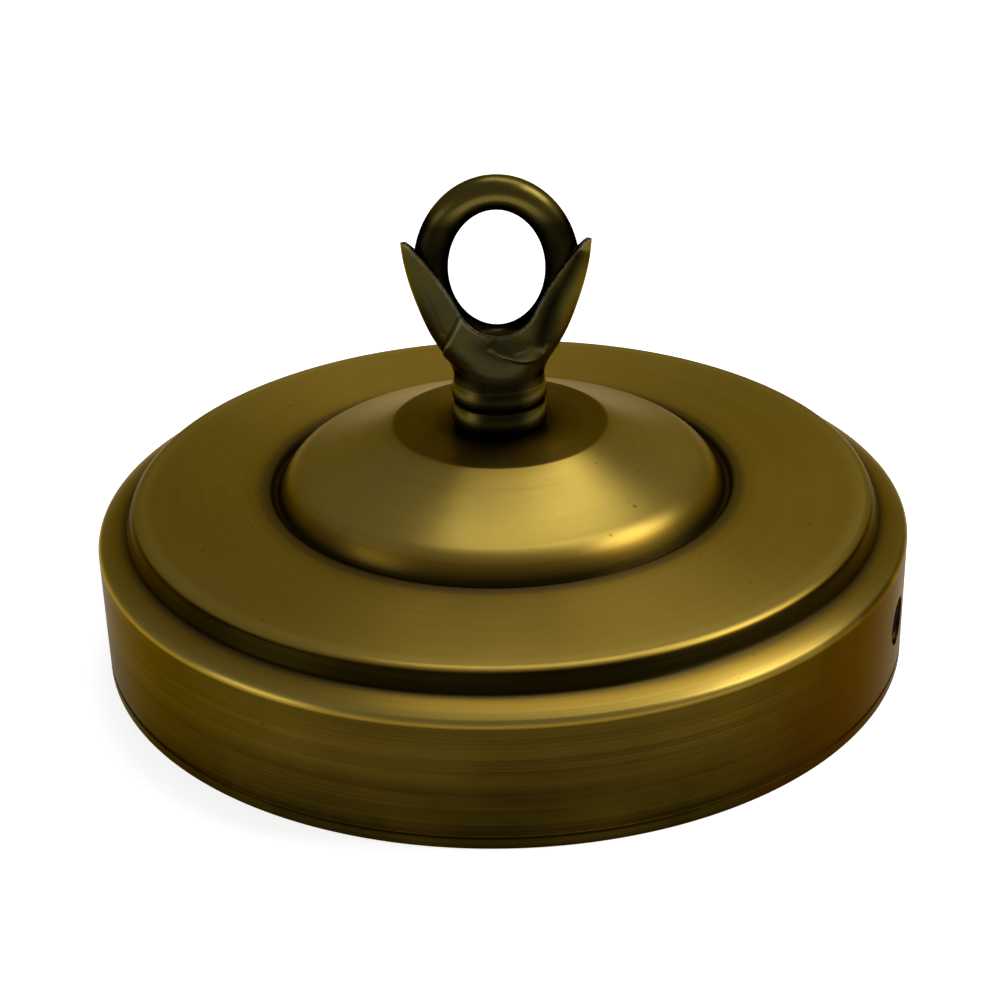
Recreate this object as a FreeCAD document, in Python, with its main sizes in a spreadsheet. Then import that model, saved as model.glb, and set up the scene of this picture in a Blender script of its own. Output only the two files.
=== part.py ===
import FreeCAD, Part
import Sketcher
import math
import os

# A ceiling hook: a pressed round canopy that stands on its open rim, a cast
# ring in a leaf calyx on top of it, the threaded nipple, washers and nut that
# hold the ring, and the ceiling strap with its two set screws inside.
# Millimetres, +Z up, the origin at the middle of the rim.

doc = FreeCAD.newDocument("ceiling_hook")
sheet = doc.addObject("Spreadsheet::Sheet", "Sizes")


# Driving dimensions

DRIVING = [
    # pressed canopy
    ("canopy_radius", 54.0, "outer radius of the skirt"),
    ("skirt_height", 17.2, "height of the ledge's outer edge above the rim"),
    ("sheet_wall", 0.9, "thickness of the pressed sheet"),
    ("shoulder_radius", 1.0, "rounding between skirt and ledge"),
    ("bend_inside", 0.3, "rounding of the sheet's tightest inside bends"),
    ("ledge_width", 4.0, "ledge between skirt and raised plate"),
    ("ledge_rise", 1.45, "rise of the ledge towards the raised plate"),
    ("ledge_bow", 12.0, "radius of the ledge's bowed top"),
    ("foot_rounding", 0.8, "rounding at the foot of the raised plate"),
    ("plate_rise", 2.75, "height of the raised plate above its foot"),
    ("plate_lean", 0.8, "lean of the raised plate's wall"),
    ("plate_rounding", 1.5, "rounding of the raised plate's lip"),
    ("plate_crown", 0.6, "rise of the plate from its lip to the dome's groove"),
    ("groove_radius", 30.2, "radius of the groove round the dome"),
    ("groove_width", 1.6, "width of that groove"),
    ("groove_depth", 0.7, "depth of that groove"),
    ("toe_rise", 2.7, "height of the dome's steep toe"),
    ("toe_lean", 1.6, "lean of the dome's toe"),
    ("toe_rounding", 5.0, "rounding of the dome's toe"),
    ("dome_height", 30.0, "height of the dome's flat seat above the rim"),
    ("seat_radius", 14.4, "radius of the flat seat"),
    ("dome_hollow", 60.0, "radius of the dome's hollow flank"),
    ("hem_height", 1.3, "height of the turned hem at the rim"),
    ("hem_groove", 0.25, "depth of the line above the hem"),
    ("hem_spread", 0.75, "how far that line's upper side reaches above the hem"),
    ("side_hole", 3.25, "radius of the holes in the skirt"),
    ("side_hole_height", 8.8, "height of those holes above the rim"),
    ("side_hole_angle", -20.0, "angle of the first hole from the X axis"),
    # cast ring and calyx
    ("collar_radius", 6.35, "radius of the lower bead of the collar"),
    ("collar_height", 3.5, "height of the lower bead"),
    ("bead_radius", 6.3, "radius of the upper bead"),
    ("bead_height", 2.8, "height of the upper bead"),
    ("bead_nick", 0.45, "depth of the nick between the beads"),
    ("neck_radius", 5.95, "radius of the neck"),
    ("neck_height", 1.3, "height of the neck above the beads"),
    ("calyx_height", 18.8, "height of the calyx above the neck"),
    ("calyx_width", 12.35, "half width of the calyx at its tips"),
    ("calyx_depth", 4.5, "half depth of the calyx at its tips"),
    ("leaf_wall", 1.1, "thickness of the leaves"),
    ("valley_height", 5.2, "height of the calyx in its valley"),
    ("valley_tilt", 16.0, "angle by which the valley falls towards the back"),
    ("valley_radius", 5.4, "rounding of the valley"),
    ("valley_width", 4.8, "half width of the valley where its sides begin"),
    ("valley_side", 30.0, "radius of the valley's bowed sides"),
    ("tip_rise", 12.1, "height of the leaf tips above the valley"),
    ("tip_width", 0.8, "width of the blunt leaf tips"),
    ("ring_bar", 2.25, "half thickness of the ring's bar"),
    ("ring_inset", 3.9, "distance from the calyx's widest side to the ring's middle line"),
    ("ring_stretch", 1.7, "by how much the ring's half height exceeds its half width"),
    ("ring_roundness", 1.25, "by how much the radius of its top and foot falls short of its half width"),
    ("ring_sink", 1.35, "depth of the ring's middle line below the valley"),
    ("thread_depth", 7.4, "depth of the threaded hole in the collar"),
    # nipple, washers and nut
    ("thread_radius", 5.0, "outer radius of the thread"),
    ("thread_fit", 0.1, "radial clearance in the threads"),
    ("nipple_wall", 1.2, "wall of the hollow nipple"),
    ("nipple_spare", 1.8, "length of nipple past the nut"),
    ("passing_fit", 0.3, "radial clearance round the nipple"),
    ("washer_radius", 10.0, "radius of the flat washer"),
    ("washer_height", 1.2, "thickness of the flat washer"),
    ("lock_radius", 8.6, "radius of the toothed lock washer"),
    ("lock_height", 0.9, "thickness of the lock washer"),
    ("tooth_depth", 1.5, "length of its teeth"),
    ("tooth_gap", 0.7, "half width of the gaps between the teeth"),
    ("tooth_count", 12.0, "number of teeth"),
    ("nut_flats", 14.0, "width of the nut across its flats"),
    ("nut_height", 4.0, "height of the nut"),
    ("nut_bevel", 0.6, "bevel at the ends of the nipple's thread"),
    ("nut_slope", 1.7, "run of the nut's bevel for each millimetre of height"),
    # ceiling strap and set screws
    ("strap_width", 16.0, "width of the strap"),
    ("strap_sheet", 1.6, "thickness of the strap"),
    ("strap_bend", 2.4, "outer radius of its bends"),
    ("strap_lug", 14.0, "height of the turned-up ends"),
    ("strap_fit", 0.4, "clearance between the ends and the skirt"),
    ("slot_spacing", 51.0, "distance between the middles of the slots"),
    ("slot_length", 20.0, "overall length of a slot"),
    ("slot_radius", 2.4, "half width of a slot"),
    ("cable_hole", 5.5, "radius of the hole in the middle of the strap"),
    ("screw_radius", 2.5, "radius of the set screws"),
    ("screw_length", 6.0, "length of the set screws"),
    ("screw_recess", 0.35, "depth of the screw's end below the skirt's face"),
    ("screw_slot", 0.4, "half width of the driver slot"),
    ("screw_slot_depth", 1.3, "depth of the driver slot"),
]

for row, (alias, number, meaning) in enumerate(DRIVING, start=1):
    sheet.set(f"A{row}", meaning)
    sheet.set(f"B{row}", str(number))
    sheet.setAlias(f"B{row}", alias)
doc.recompute()


class Size:
    """A size that knows its number and the sheet formula it comes from."""

    def __init__(self, number, formula):
        self.number = float(number)
        self.formula = formula

    def joined(self, other, sign, number):
        return Size(number, f"({self.formula} {sign} {as_size(other).formula})")

    def __add__(self, other):
        return self.joined(other, "+", self.number + as_size(other).number)

    def __sub__(self, other):
        return self.joined(other, "-", self.number - as_size(other).number)

    def __mul__(self, other):
        return self.joined(other, "*", self.number * as_size(other).number)

    def __truediv__(self, other):
        return self.joined(other, "/", self.number / as_size(other).number)


def as_size(value):
    return value if isinstance(value, Size) else Size(value, str(value))


def root(value):
    return Size(math.sqrt(value.number), f"sqrt({value.formula})")


def sized(alias):
    return Size(sheet.get(alias), f"Sizes.{alias}")


ZERO = as_size(0)


def bind(item, **sizes):
    """Ties properties of an object to sizes."""
    for name, size in sizes.items():
        item.setExpression(name, as_size(size).formula)


# Helpers for sketches and bodies

def new_body(name):
    body = doc.addObject("PartDesign::Body", name)
    body.Label = name
    return body


ACROSS = FreeCAD.Vector(1, 0, 0)
UPRIGHT = FreeCAD.Vector(0, 1, 0)


def own_plane(body, role):
    return [item for item in body.Origin.OriginFeatures if item.Role == role][0]


def new_sketch(body, role, name, lift=ZERO, up=ZERO, turn=ZERO, axis=UPRIGHT):
    """A sketch on one of the body's own planes, moved along its normal or up, and turned about one of its axes."""
    sketch = body.newObject("Sketcher::SketchObject", name)
    sketch.AttachmentSupport = [(own_plane(body, role), "")]
    sketch.MapMode = "FlatFace"
    turned = FreeCAD.Rotation(axis, turn.number)
    sketch.AttachmentOffset = FreeCAD.Placement(FreeCAD.Vector(0, up.number, lift.number), turned)
    sketch.setExpression("AttachmentOffset.Base.y", up.formula)
    sketch.setExpression("AttachmentOffset.Base.z", lift.formula)
    if turn.number:
        sketch.setExpression("AttachmentOffset.Rotation.Angle", turn.formula)
    return sketch


def hold(sketch, size, *constraint):
    """Adds a constraint whose value is a size."""
    index = sketch.addConstraint(Sketcher.Constraint(*constraint, size.number))
    sketch.setExpression(f"Constraints[{index}]", size.formula)


def place_point(sketch, element, end, across, up):
    """Fixes a point of a sketch by its distances from the origin."""
    for kind, axis, size in (("DistanceX", -2, across), ("DistanceY", -1, up)):
        if size.number == 0:
            sketch.addConstraint(Sketcher.Constraint("PointOnObject", element, end, axis))
        elif size.number < 0:
            hold(sketch, ZERO - size, kind, element, end, -1, 1)
        else:
            hold(sketch, size, kind, -1, 1, element, end)


def arc_through(start, finish, radius):
    """An arc that bows to the right of the way from start to finish, or to the left for a negative radius."""
    chord = finish - start
    half = chord.Length / 2
    right = FreeCAD.Vector(chord.y, -chord.x, 0).normalize()
    sagitta = abs(radius) - math.sqrt(max(radius * radius - half * half, 0))
    middle = start + chord * 0.5 + right * math.copysign(sagitta, radius)
    return Part.Arc(start, middle, finish) if radius > 0 else Part.Arc(finish, middle, start)


def draw_outline(sketch, corners, closed=True):
    """An outline or a path. A corner is (across, up) or, where an arc leaves it, (across, up, radius, side)."""
    points = [FreeCAD.Vector(corner[0].number, corner[1].number, 0) for corner in corners]
    ends = []
    for index, corner in enumerate(corners if closed else corners[:-1]):
        start = points[index]
        finish = points[(index + 1) % len(points)]
        if len(corner) == 2:
            element = sketch.addGeometry(Part.LineSegment(start, finish))
            ends.append((element, 1, 2))
            continue
        radius, side = corner[2:]
        element = sketch.addGeometry(arc_through(start, finish, radius.number * side))
        ends.append((element, 1, 2) if side > 0 else (element, 2, 1))
        hold(sketch, radius, "Radius", element)
    for index, (element, first, last) in enumerate(ends):
        place_point(sketch, element, first, corners[index][0], corners[index][1])
        if closed or index + 1 < len(ends):
            following, start_end, _ = ends[(index + 1) % len(ends)]
            sketch.addConstraint(Sketcher.Constraint("Coincident", element, last, following, start_end))
        else:
            place_point(sketch, element, last, corners[-1][0], corners[-1][1])
    return sketch


def draw_circle(sketch, radius, across=ZERO, up=ZERO):
    centre = FreeCAD.Vector(across.number, up.number, 0)
    element = sketch.addGeometry(Part.Circle(centre, FreeCAD.Vector(0, 0, 1), radius.number))
    place_point(sketch, element, 3, across, up)
    hold(sketch, radius, "Radius", element)
    return sketch


def draw_ellipse(sketch, across, up, lift=ZERO):
    """An ellipse on the sketch's axes, with its half sizes across and up and its middle at a height."""
    wide = across.number >= up.number
    middle = FreeCAD.Vector(0, lift.number, 0)
    side = FreeCAD.Vector(across.number, lift.number, 0)
    top = FreeCAD.Vector(0, lift.number + up.number, 0)
    element = sketch.addGeometry(Part.Ellipse(side, top, middle) if wide else Part.Ellipse(top, side, middle))
    place_point(sketch, element, 3, ZERO, lift)
    sketch.exposeInternalGeometry(element)
    long_axis, short_axis = element + 1, element + 2
    sketch.addConstraint(Sketcher.Constraint("Horizontal" if wide else "Vertical", long_axis))
    hold(sketch, (across if wide else up) * 2, "Distance", long_axis)
    hold(sketch, (up if wide else across) * 2, "Distance", short_axis)
    return sketch


def add_feature(body, kind, name, profile, **settings):
    feature = body.newObject(f"PartDesign::{kind}", name)
    feature.Profile = profile
    for key, value in settings.items():
        if isinstance(value, Size):
            feature.setExpression(key, value.formula)
        else:
            setattr(feature, key, value)
    profile.Visibility = False
    body.Tip = feature
    doc.recompute()
    return feature


def revolve(body, kind, name, profile):
    return add_feature(body, kind, name, profile, ReferenceAxis=(profile, ["V_Axis"]), Angle=360)


def cut_through(body, name, profile):
    """A pocket that runs out on both sides, tested by the volume that it takes."""
    before = body.Shape.Volume
    feature = add_feature(body, "Pocket", name, profile, Type="ThroughAll", Midplane=True)
    if not feature.Shape.Volume < before:
        raise RuntimeError(f"{name} cuts nothing")
    return feature


def round_edges(body, name, radius, *circles):
    """Rounds the circular edges of a turned body that lie at the given (radius, height)."""
    base = body.Tip
    names = []
    for number, edge in enumerate(base.Shape.Edges, start=1):
        for reach, height in circles:
            curve = edge.Curve
            if (isinstance(curve, Part.Circle) and abs(curve.Radius - reach.number) < 0.01
                    and abs(curve.Center.z - height.number) < 0.01):
                names.append(f"Edge{number}")
    if len(names) != len(circles):
        raise RuntimeError(f"{name} finds {len(names)} edges of {len(circles)}")
    fillet = body.newObject("PartDesign::Fillet", name)
    fillet.Base = (base, names)
    fillet.setExpression("Radius", radius.formula)
    body.Tip = fillet
    doc.recompute()
    return fillet


# Pressed canopy: the section of the sheet, turned about the axis

wall = sized("sheet_wall")
radius = sized("canopy_radius")
ledge = sized("skirt_height")
plate_foot = radius - sized("ledge_width")
plate_lip = plate_foot - sized("plate_lean")
ledge_foot = ledge + sized("ledge_rise")
ledge_bow = sized("ledge_bow")
lip_height = ledge_foot + sized("plate_rise")
plate_height = lip_height + sized("plate_crown")
groove = sized("groove_radius")
groove_side = sized("groove_width") / 2
groove_flat = sized("groove_width") / 6
groove_floor = plate_height - sized("groove_depth")
toe_foot = groove - groove_side
toe_top = toe_foot - sized("toe_lean")
toe_height = plate_height + sized("toe_rise")
seat = sized("dome_height")
seat_radius = sized("seat_radius")
hollow = sized("dome_hollow")
nipple_hole = sized("thread_radius") + sized("passing_fit")

canopy = new_body("canopy")
canopy_section = draw_outline(new_sketch(canopy, "XZ_Plane", "CanopySection"), [
    (radius, ZERO),
    (radius, ledge, ledge_bow, 1),
    (plate_foot, ledge_foot),
    (plate_lip, lip_height),
    (groove + groove_side, plate_height),
    (groove + groove_flat, groove_floor),
    (groove - groove_flat, groove_floor),
    (toe_foot, plate_height),
    (toe_top, toe_height, hollow, -1),
    (seat_radius, seat),
    (nipple_hole, seat),
    (nipple_hole, seat - wall),
    (seat_radius, seat - wall, hollow, 1),
    (toe_top - wall, toe_height - wall / 2),
    (toe_foot - wall, plate_height - wall),
    (groove - groove_flat, groove_floor - wall),
    (groove + groove_flat, groove_floor - wall),
    (groove + groove_side, plate_height - wall),
    (plate_lip - wall, lip_height - wall),
    (plate_foot - wall, ledge_foot - wall, ledge_bow, -1),
    (radius - wall, ledge - wall),
    (radius - wall, ZERO),
])
revolve(canopy, "Revolution", "PressedSheet", canopy_section)
foot_round = sized("foot_rounding")
lip_round = sized("plate_rounding")
toe_round = sized("toe_rounding")
round_edges(canopy, "Shoulder", sized("shoulder_radius"), (radius, ledge))
round_edges(canopy, "ShoulderInside", sized("bend_inside"), (radius - wall, ledge - wall))
round_edges(canopy, "PlateFoot", foot_round, (plate_foot, ledge_foot))
round_edges(canopy, "PlateFootInside", foot_round + wall, (plate_foot - wall, ledge_foot - wall))
round_edges(canopy, "PlateLip", lip_round, (plate_lip, lip_height))
round_edges(canopy, "PlateLipInside", lip_round - wall, (plate_lip - wall, lip_height - wall))
round_edges(canopy, "DomeToe", toe_round, (toe_top, toe_height))
round_edges(canopy, "DomeToeInside", toe_round - wall, (toe_top - wall, toe_height - wall / 2))

hem = sized("hem_height")
hem_line = sized("hem_groove")
hem_profile = draw_outline(new_sketch(canopy, "XZ_Plane", "HemLine"), [
    (radius + hem_line, hem - hem_line),
    (radius + hem_line, hem + sized("hem_spread")),
    (radius - hem_line, hem + hem_line),
])
revolve(canopy, "Groove", "HemGroove", hem_profile)

side_sketch = new_sketch(canopy, "YZ_Plane", "SideHoleOutline", turn=sized("side_hole_angle"))
cut_through(canopy, "SideHoles", draw_circle(side_sketch, sized("side_hole"), up=sized("side_hole_height")))


# Cast ring: a beaded collar, a calyx of two leaves, and the oval ring that stands in it

collar = sized("collar_radius")
neck = sized("neck_radius")
nick = collar - sized("bead_nick")
nick_height = seat + sized("collar_height")
bead_top = nick_height + sized("bead_height")
neck_top = bead_top + sized("neck_height")


def bow_radius(chord, bulge):
    """Radius of an arc over a chord that stands out by a bulge in its middle."""
    return chord * chord / (bulge * 8) + bulge / 2


lower_bow = bow_radius(sized("collar_height"), collar - nick)
upper_chord = root(sized("bead_height") * sized("bead_height") + (nick - neck) * (nick - neck))
upper_bow = bow_radius(upper_chord, sized("bead_radius") - (nick + neck) / 2)

hook = new_body("ring_hook")
collar_outline = draw_outline(new_sketch(hook, "XZ_Plane", "CollarOutline"), [
    (ZERO, seat),
    (nick, seat, lower_bow, 1),
    (nick, nick_height, upper_bow, 1),
    (neck, bead_top),
    (neck, neck_top),
    (ZERO, neck_top),
])
revolve(hook, "Revolution", "Collar", collar_outline)

# Share of the calyx's height, and how far it has grown there from the neck to its width and to its depth
CALYX = [
    (0.00, 0.00, 0.00),
    (0.08, 0.09, 0.02),
    (0.20, 0.32, 0.25),
    (0.35, 0.545, 0.70),
    (0.60, 0.80, 0.90),
    (0.80, 0.935, 0.96),
    (1.00, 1.00, 1.00),
]
calyx_height = sized("calyx_height")
calyx_width = sized("calyx_width")
calyx_depth = sized("calyx_depth")
leaf = sized("leaf_wall")


def calyx_section(name, share, wide, deep, thinner):
    """An oval section of the calyx, thinner all round by a wall."""
    sketch = new_sketch(hook, "XY_Plane", name, lift=neck_top + calyx_height * share)
    across = neck + (calyx_width - neck) * wide - thinner
    along = neck + (calyx_depth - neck) * deep - thinner
    return draw_ellipse(sketch, across, along)


calyx_outside = [calyx_section(f"Calyx{index}", *section, ZERO) for index, section in enumerate(CALYX)]
add_feature(hook, "AdditiveLoft", "CalyxLoft", calyx_outside[0], Sections=calyx_outside[1:])
calyx_inside = [calyx_section(f"Hollow{index}", *section, leaf) for index, section in enumerate(CALYX[2:])]
add_feature(hook, "SubtractiveLoft", "CalyxHollow", calyx_inside[0], Sections=calyx_inside[1:])

# The valley between the leaves, cut from front to back and falling towards the back
valley = neck_top + sized("valley_height")
valley_side = sized("valley_width")
valley_bow = sized("valley_radius")
side_bow = sized("valley_side")
valley_rise = valley_bow - root(valley_bow * valley_bow - valley_side * valley_side)
tip_rise = sized("tip_rise")
tip_side = calyx_width - sized("tip_width")
outer_side = calyx_width + leaf
sky = tip_rise + calyx_height
valley_sketch = new_sketch(hook, "XZ_Plane", "ValleyOutline", up=valley,
                           turn=ZERO - sized("valley_tilt"), axis=ACROSS)
draw_outline(valley_sketch, [
    (ZERO - valley_side, valley_rise, valley_bow, 1),
    (valley_side, valley_rise, side_bow, -1),
    (tip_side, tip_rise),
    (outer_side, tip_rise),
    (outer_side, sky),
    (ZERO - outer_side, sky),
    (ZERO - outer_side, tip_rise),
    (ZERO - tip_side, tip_rise, side_bow, -1),
])
cut_through(hook, "Valley", valley_sketch)

# The oval ring, a round bar whose foot is sunk in the calyx: half of it swept along three arcs, then mirrored
ring_width = calyx_width - sized("ring_inset")
ring_height = ring_width + sized("ring_stretch")
ring_end = ring_width - sized("ring_roundness")
ring_middle = valley - sized("ring_sink") + ring_height
end_lift = ring_height - ring_end
ring_side = (ring_width * ring_width + end_lift * end_lift - ring_end * ring_end) / ((ring_width - ring_end) * 2)
side_shift = ring_side - ring_width
centre_gap = root(side_shift * side_shift + end_lift * end_lift)
join_across = ring_end * side_shift / centre_gap
join_lift = end_lift + ring_end * end_lift / centre_gap
ring_path = draw_outline(new_sketch(hook, "XZ_Plane", "RingPath"), [
    (ZERO, ring_middle - ring_height, ring_end, 1),
    (join_across, ring_middle - join_lift, ring_side, 1),
    (join_across, ring_middle + join_lift, ring_end, 1),
    (ZERO, ring_middle + ring_height),
], closed=False)
bar_sketch = draw_circle(new_sketch(hook, "YZ_Plane", "RingBar"), sized("ring_bar"), up=ring_middle - ring_height)
half_ring = add_feature(hook, "AdditivePipe", "HalfRing", bar_sketch,
                        Spine=(ring_path, ["Edge1", "Edge2", "Edge3"]))
ring_path.Visibility = False
ring = hook.newObject("PartDesign::Mirrored", "Ring")
ring.Originals = [half_ring]
ring.MirrorPlane = (own_plane(hook, "YZ_Plane"), [""])
hook.Tip = ring
doc.recompute()

thread = sized("thread_radius")
thread_sketch = draw_circle(new_sketch(hook, "XY_Plane", "ThreadOutline", lift=seat), thread)
solid_collar = hook.Shape.Volume
thread_hole = add_feature(hook, "Pocket", "ThreadedHole", thread_sketch,
                          Length=sized("thread_depth"), Reversed=True)
if not thread_hole.Shape.Volume < solid_collar:
    raise RuntimeError("the threaded hole cuts nothing")


# Nipple, washers and nut under the seat

under_seat = seat - wall
washer_foot = under_seat - sized("washer_height")
lock_foot = washer_foot - sized("lock_height")
nut_foot = lock_foot - sized("nut_height")
fit = sized("passing_fit")
thread_fit = sized("thread_fit")
bevel = sized("nut_bevel")

nipple = new_body("threaded_nipple")
nipple_outside = thread - thread_fit
nipple_inside = nipple_outside - sized("nipple_wall")
nipple_foot = nut_foot - sized("nipple_spare")
nipple_top = seat + sized("thread_depth") - fit
nipple_outline = draw_outline(new_sketch(nipple, "XZ_Plane", "NippleOutline"), [
    (nipple_inside, nipple_foot),
    (nipple_outside - bevel, nipple_foot),
    (nipple_outside, nipple_foot + bevel),
    (nipple_outside, nipple_top - bevel),
    (nipple_outside - bevel, nipple_top),
    (nipple_inside, nipple_top),
])
revolve(nipple, "Revolution", "Tube", nipple_outline)

washer = new_body("flat_washer")
washer_sketch = new_sketch(washer, "XY_Plane", "WasherOutline", lift=washer_foot)
draw_circle(washer_sketch, sized("washer_radius"))
draw_circle(washer_sketch, nipple_hole)
add_feature(washer, "Pad", "Disc", washer_sketch, Length=sized("washer_height"))

lock = new_body("lock_washer")
lock_radius = sized("lock_radius")
lock_sketch = new_sketch(lock, "XY_Plane", "LockOutline", lift=lock_foot)
draw_circle(lock_sketch, lock_radius)
draw_circle(lock_sketch, nipple_hole)
add_feature(lock, "Pad", "Disc", lock_sketch, Length=sized("lock_height"))
gap = sized("tooth_gap")
gap_foot = lock_radius - sized("tooth_depth")
gap_sketch = draw_outline(new_sketch(lock, "XY_Plane", "GapOutline"), [
    (gap_foot, ZERO - gap / 2),
    (lock_radius + gap, ZERO - gap),
    (lock_radius + gap, gap),
    (gap_foot, gap / 2),
])
cut_through(lock, "Gap", gap_sketch)
teeth = lock.newObject("PartDesign::PolarPattern", "Teeth")
teeth.Originals = [lock.Tip]
teeth.Axis = (gap_sketch, ["N_Axis"])
teeth.Angle = 360
bind(teeth, Occurrences=sized("tooth_count"))
lock.Tip = teeth
doc.recompute()

flats = sized("nut_flats")
nut_height = sized("nut_height")
nut_blank = doc.addObject("Part::Prism", "NutBlank")
nut_blank.Polygon = 6
bind(nut_blank, Circumradius=flats / root(as_size(3)), Height=nut_height)
nut_cone = doc.addObject("Part::Cone", "NutCone")
bind(nut_cone, Radius1=flats / 2, Radius2=flats / 2 + nut_height * sized("nut_slope"), Height=nut_height)
nut_shape = doc.addObject("Part::Common", "BevelledNut")
nut_shape.Base = nut_blank
nut_shape.Tool = nut_cone
nut_bore = doc.addObject("Part::Cylinder", "NutBore")
bind(nut_bore, Radius=thread, Height=nut_height)
nut = doc.addObject("Part::Cut", "hex_nut")
nut.Label = "hex_nut"
nut.Base = nut_shape
nut.Tool = nut_bore
nut.Placement = FreeCAD.Placement(FreeCAD.Vector(0, 0, nut_foot.number), FreeCAD.Rotation())
bind(nut, **{"Placement.Base.z": nut_foot})


# Ceiling strap: a flat bar with turned-up ends that carry the set screws

strap_width = sized("strap_width")
strap_sheet = sized("strap_sheet")
bend = sized("strap_bend")
inner_bend = bend - strap_sheet
reach = radius - wall - sized("strap_fit")
strap_end = root(reach * reach - strap_width * strap_width / 4)
lug = sized("strap_lug")
left = ZERO - strap_end
turn = sized("side_hole_angle")

strap = new_body("ceiling_strap")
strap_outline = draw_outline(new_sketch(strap, "XZ_Plane", "StrapOutline"), [
    (left + bend, ZERO),
    (strap_end - bend, ZERO, bend, 1),
    (strap_end, bend),
    (strap_end, lug),
    (strap_end - strap_sheet, lug),
    (strap_end - strap_sheet, bend, inner_bend, -1),
    (strap_end - bend, strap_sheet),
    (left + bend, strap_sheet, inner_bend, -1),
    (left + strap_sheet, bend),
    (left + strap_sheet, lug),
    (left, lug),
    (left, bend, bend, 1),
])
add_feature(strap, "Pad", "Bar", strap_outline, Length=strap_width, Midplane=True)

slot_radius = sized("slot_radius")
slot_middle = sized("slot_spacing") / 2
slot_half = sized("slot_length") / 2 - slot_radius
slot_middles = new_sketch(strap, "XY_Plane", "SlotMiddles")
hole_ends = new_sketch(strap, "XY_Plane", "HoleEnds")
draw_circle(hole_ends, sized("cable_hole"))
for side in (-1, 1):
    near = slot_middle * side - slot_half
    far = slot_middle * side + slot_half
    draw_outline(slot_middles, [
        (near, ZERO - slot_radius),
        (far, ZERO - slot_radius),
        (far, slot_radius),
        (near, slot_radius),
    ])
    draw_circle(hole_ends, slot_radius, across=near)
    draw_circle(hole_ends, slot_radius, across=far)
cut_through(strap, "Slots", slot_middles)
cut_through(strap, "SlotEnds", hole_ends)
screw = sized("screw_radius")
screw_height = sized("side_hole_height")
tapped = draw_circle(new_sketch(strap, "YZ_Plane", "TappedOutline"), screw + thread_fit, up=screw_height)
cut_through(strap, "TappedHoles", tapped)
strap.Placement = FreeCAD.Placement(FreeCAD.Vector(), FreeCAD.Rotation(FreeCAD.Vector(0, 0, 1), turn.number))
bind(strap, **{"Placement.Rotation.Angle": turn})


# Set screws, one through each turned-up end into the hole of the skirt

screw_outer = radius - sized("screw_recess")
screw_length = sized("screw_length")
slot_half_width = sized("screw_slot")
slot_depth = sized("screw_slot_depth")
along_x = FreeCAD.Rotation(FreeCAD.Vector(0, 1, 0), 90)
screw_bar = doc.addObject("Part::Cylinder", "ScrewBar")
screw_bar.Placement = FreeCAD.Placement(FreeCAD.Vector(1, 0, 1), along_x)
bind(screw_bar, Radius=screw, Height=screw_length)
bind(screw_bar, **{"Placement.Base.x": screw_outer - screw_length, "Placement.Base.z": screw_height})
screw_slot = doc.addObject("Part::Box", "ScrewSlot")
bind(screw_slot, Length=slot_depth * 2, Width=slot_half_width * 2, Height=screw * 2 + slot_depth * 2)
bind(screw_slot, **{
    "Placement.Base.x": screw_outer - slot_depth,
    "Placement.Base.y": ZERO - slot_half_width,
    "Placement.Base.z": screw_height - screw - slot_depth,
})
screw_cut = doc.addObject("Part::Cut", "SetScrew")
screw_cut.Base = screw_bar
screw_cut.Tool = screw_slot
screw_mirror = doc.addObject("Part::Mirroring", "OtherSetScrew")
screw_mirror.Source = screw_cut
screw_mirror.Normal = FreeCAD.Vector(1, 0, 0)
screws = doc.addObject("Part::Compound", "set_screws")
screws.Label = "set_screws"
screws.Links = [screw_cut, screw_mirror]
screws.Placement = FreeCAD.Placement(FreeCAD.Vector(), FreeCAD.Rotation(FreeCAD.Vector(0, 0, 1), turn.number))
bind(screws, **{"Placement.Rotation.Angle": turn})


# Test every object, then write one file for each piece

doc.recompute()
for item in doc.Objects:
    if "Invalid" in item.State or "Error" in item.State:
        raise RuntimeError(f"{item.Label} did not build")

PIECES = [canopy, hook, nipple, washer, lock, nut, strap, screws]
for piece in PIECES:
    if piece.Shape.isNull() or not piece.Shape.isValid():
        raise RuntimeError(f"{piece.Label} has no valid shape")

os.makedirs("parts", exist_ok=True)
for piece in PIECES:
    piece.Shape.exportStep(f"parts/{piece.Label}.step")
    box = piece.Shape.BoundBox
    print(piece.Label, len(piece.Shape.Solids), "solids, volume", round(piece.Shape.Volume, 1),
          "x", round(box.XMin, 2), round(box.XMax, 2), "y", round(box.YMin, 2), round(box.YMax, 2),
          "z", round(box.ZMin, 2), round(box.ZMax, 2))
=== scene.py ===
import math

import bmesh
import bpy
import numpy as np
from bpy.props import FloatProperty, FloatVectorProperty, IntProperty, PointerProperty
from mathutils import Matrix, Vector


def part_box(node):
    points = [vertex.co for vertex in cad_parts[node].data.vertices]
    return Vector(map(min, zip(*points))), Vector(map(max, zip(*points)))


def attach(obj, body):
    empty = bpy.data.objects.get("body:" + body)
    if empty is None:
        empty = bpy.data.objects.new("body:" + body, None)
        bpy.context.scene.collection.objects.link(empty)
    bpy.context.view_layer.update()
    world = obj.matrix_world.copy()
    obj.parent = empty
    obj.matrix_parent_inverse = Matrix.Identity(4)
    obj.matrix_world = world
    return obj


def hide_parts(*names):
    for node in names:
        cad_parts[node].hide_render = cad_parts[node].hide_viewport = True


bl_info = {
    "name": "Ceiling hook",
    "version": (1, 0, 0),
    "blender": (4, 5, 0),
    "location": "3D View > Sidebar > Ceiling hook",
    "description": "Builds a brass ceiling hook with its canopy, strap and fittings",
    "category": "Object",
}

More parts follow.
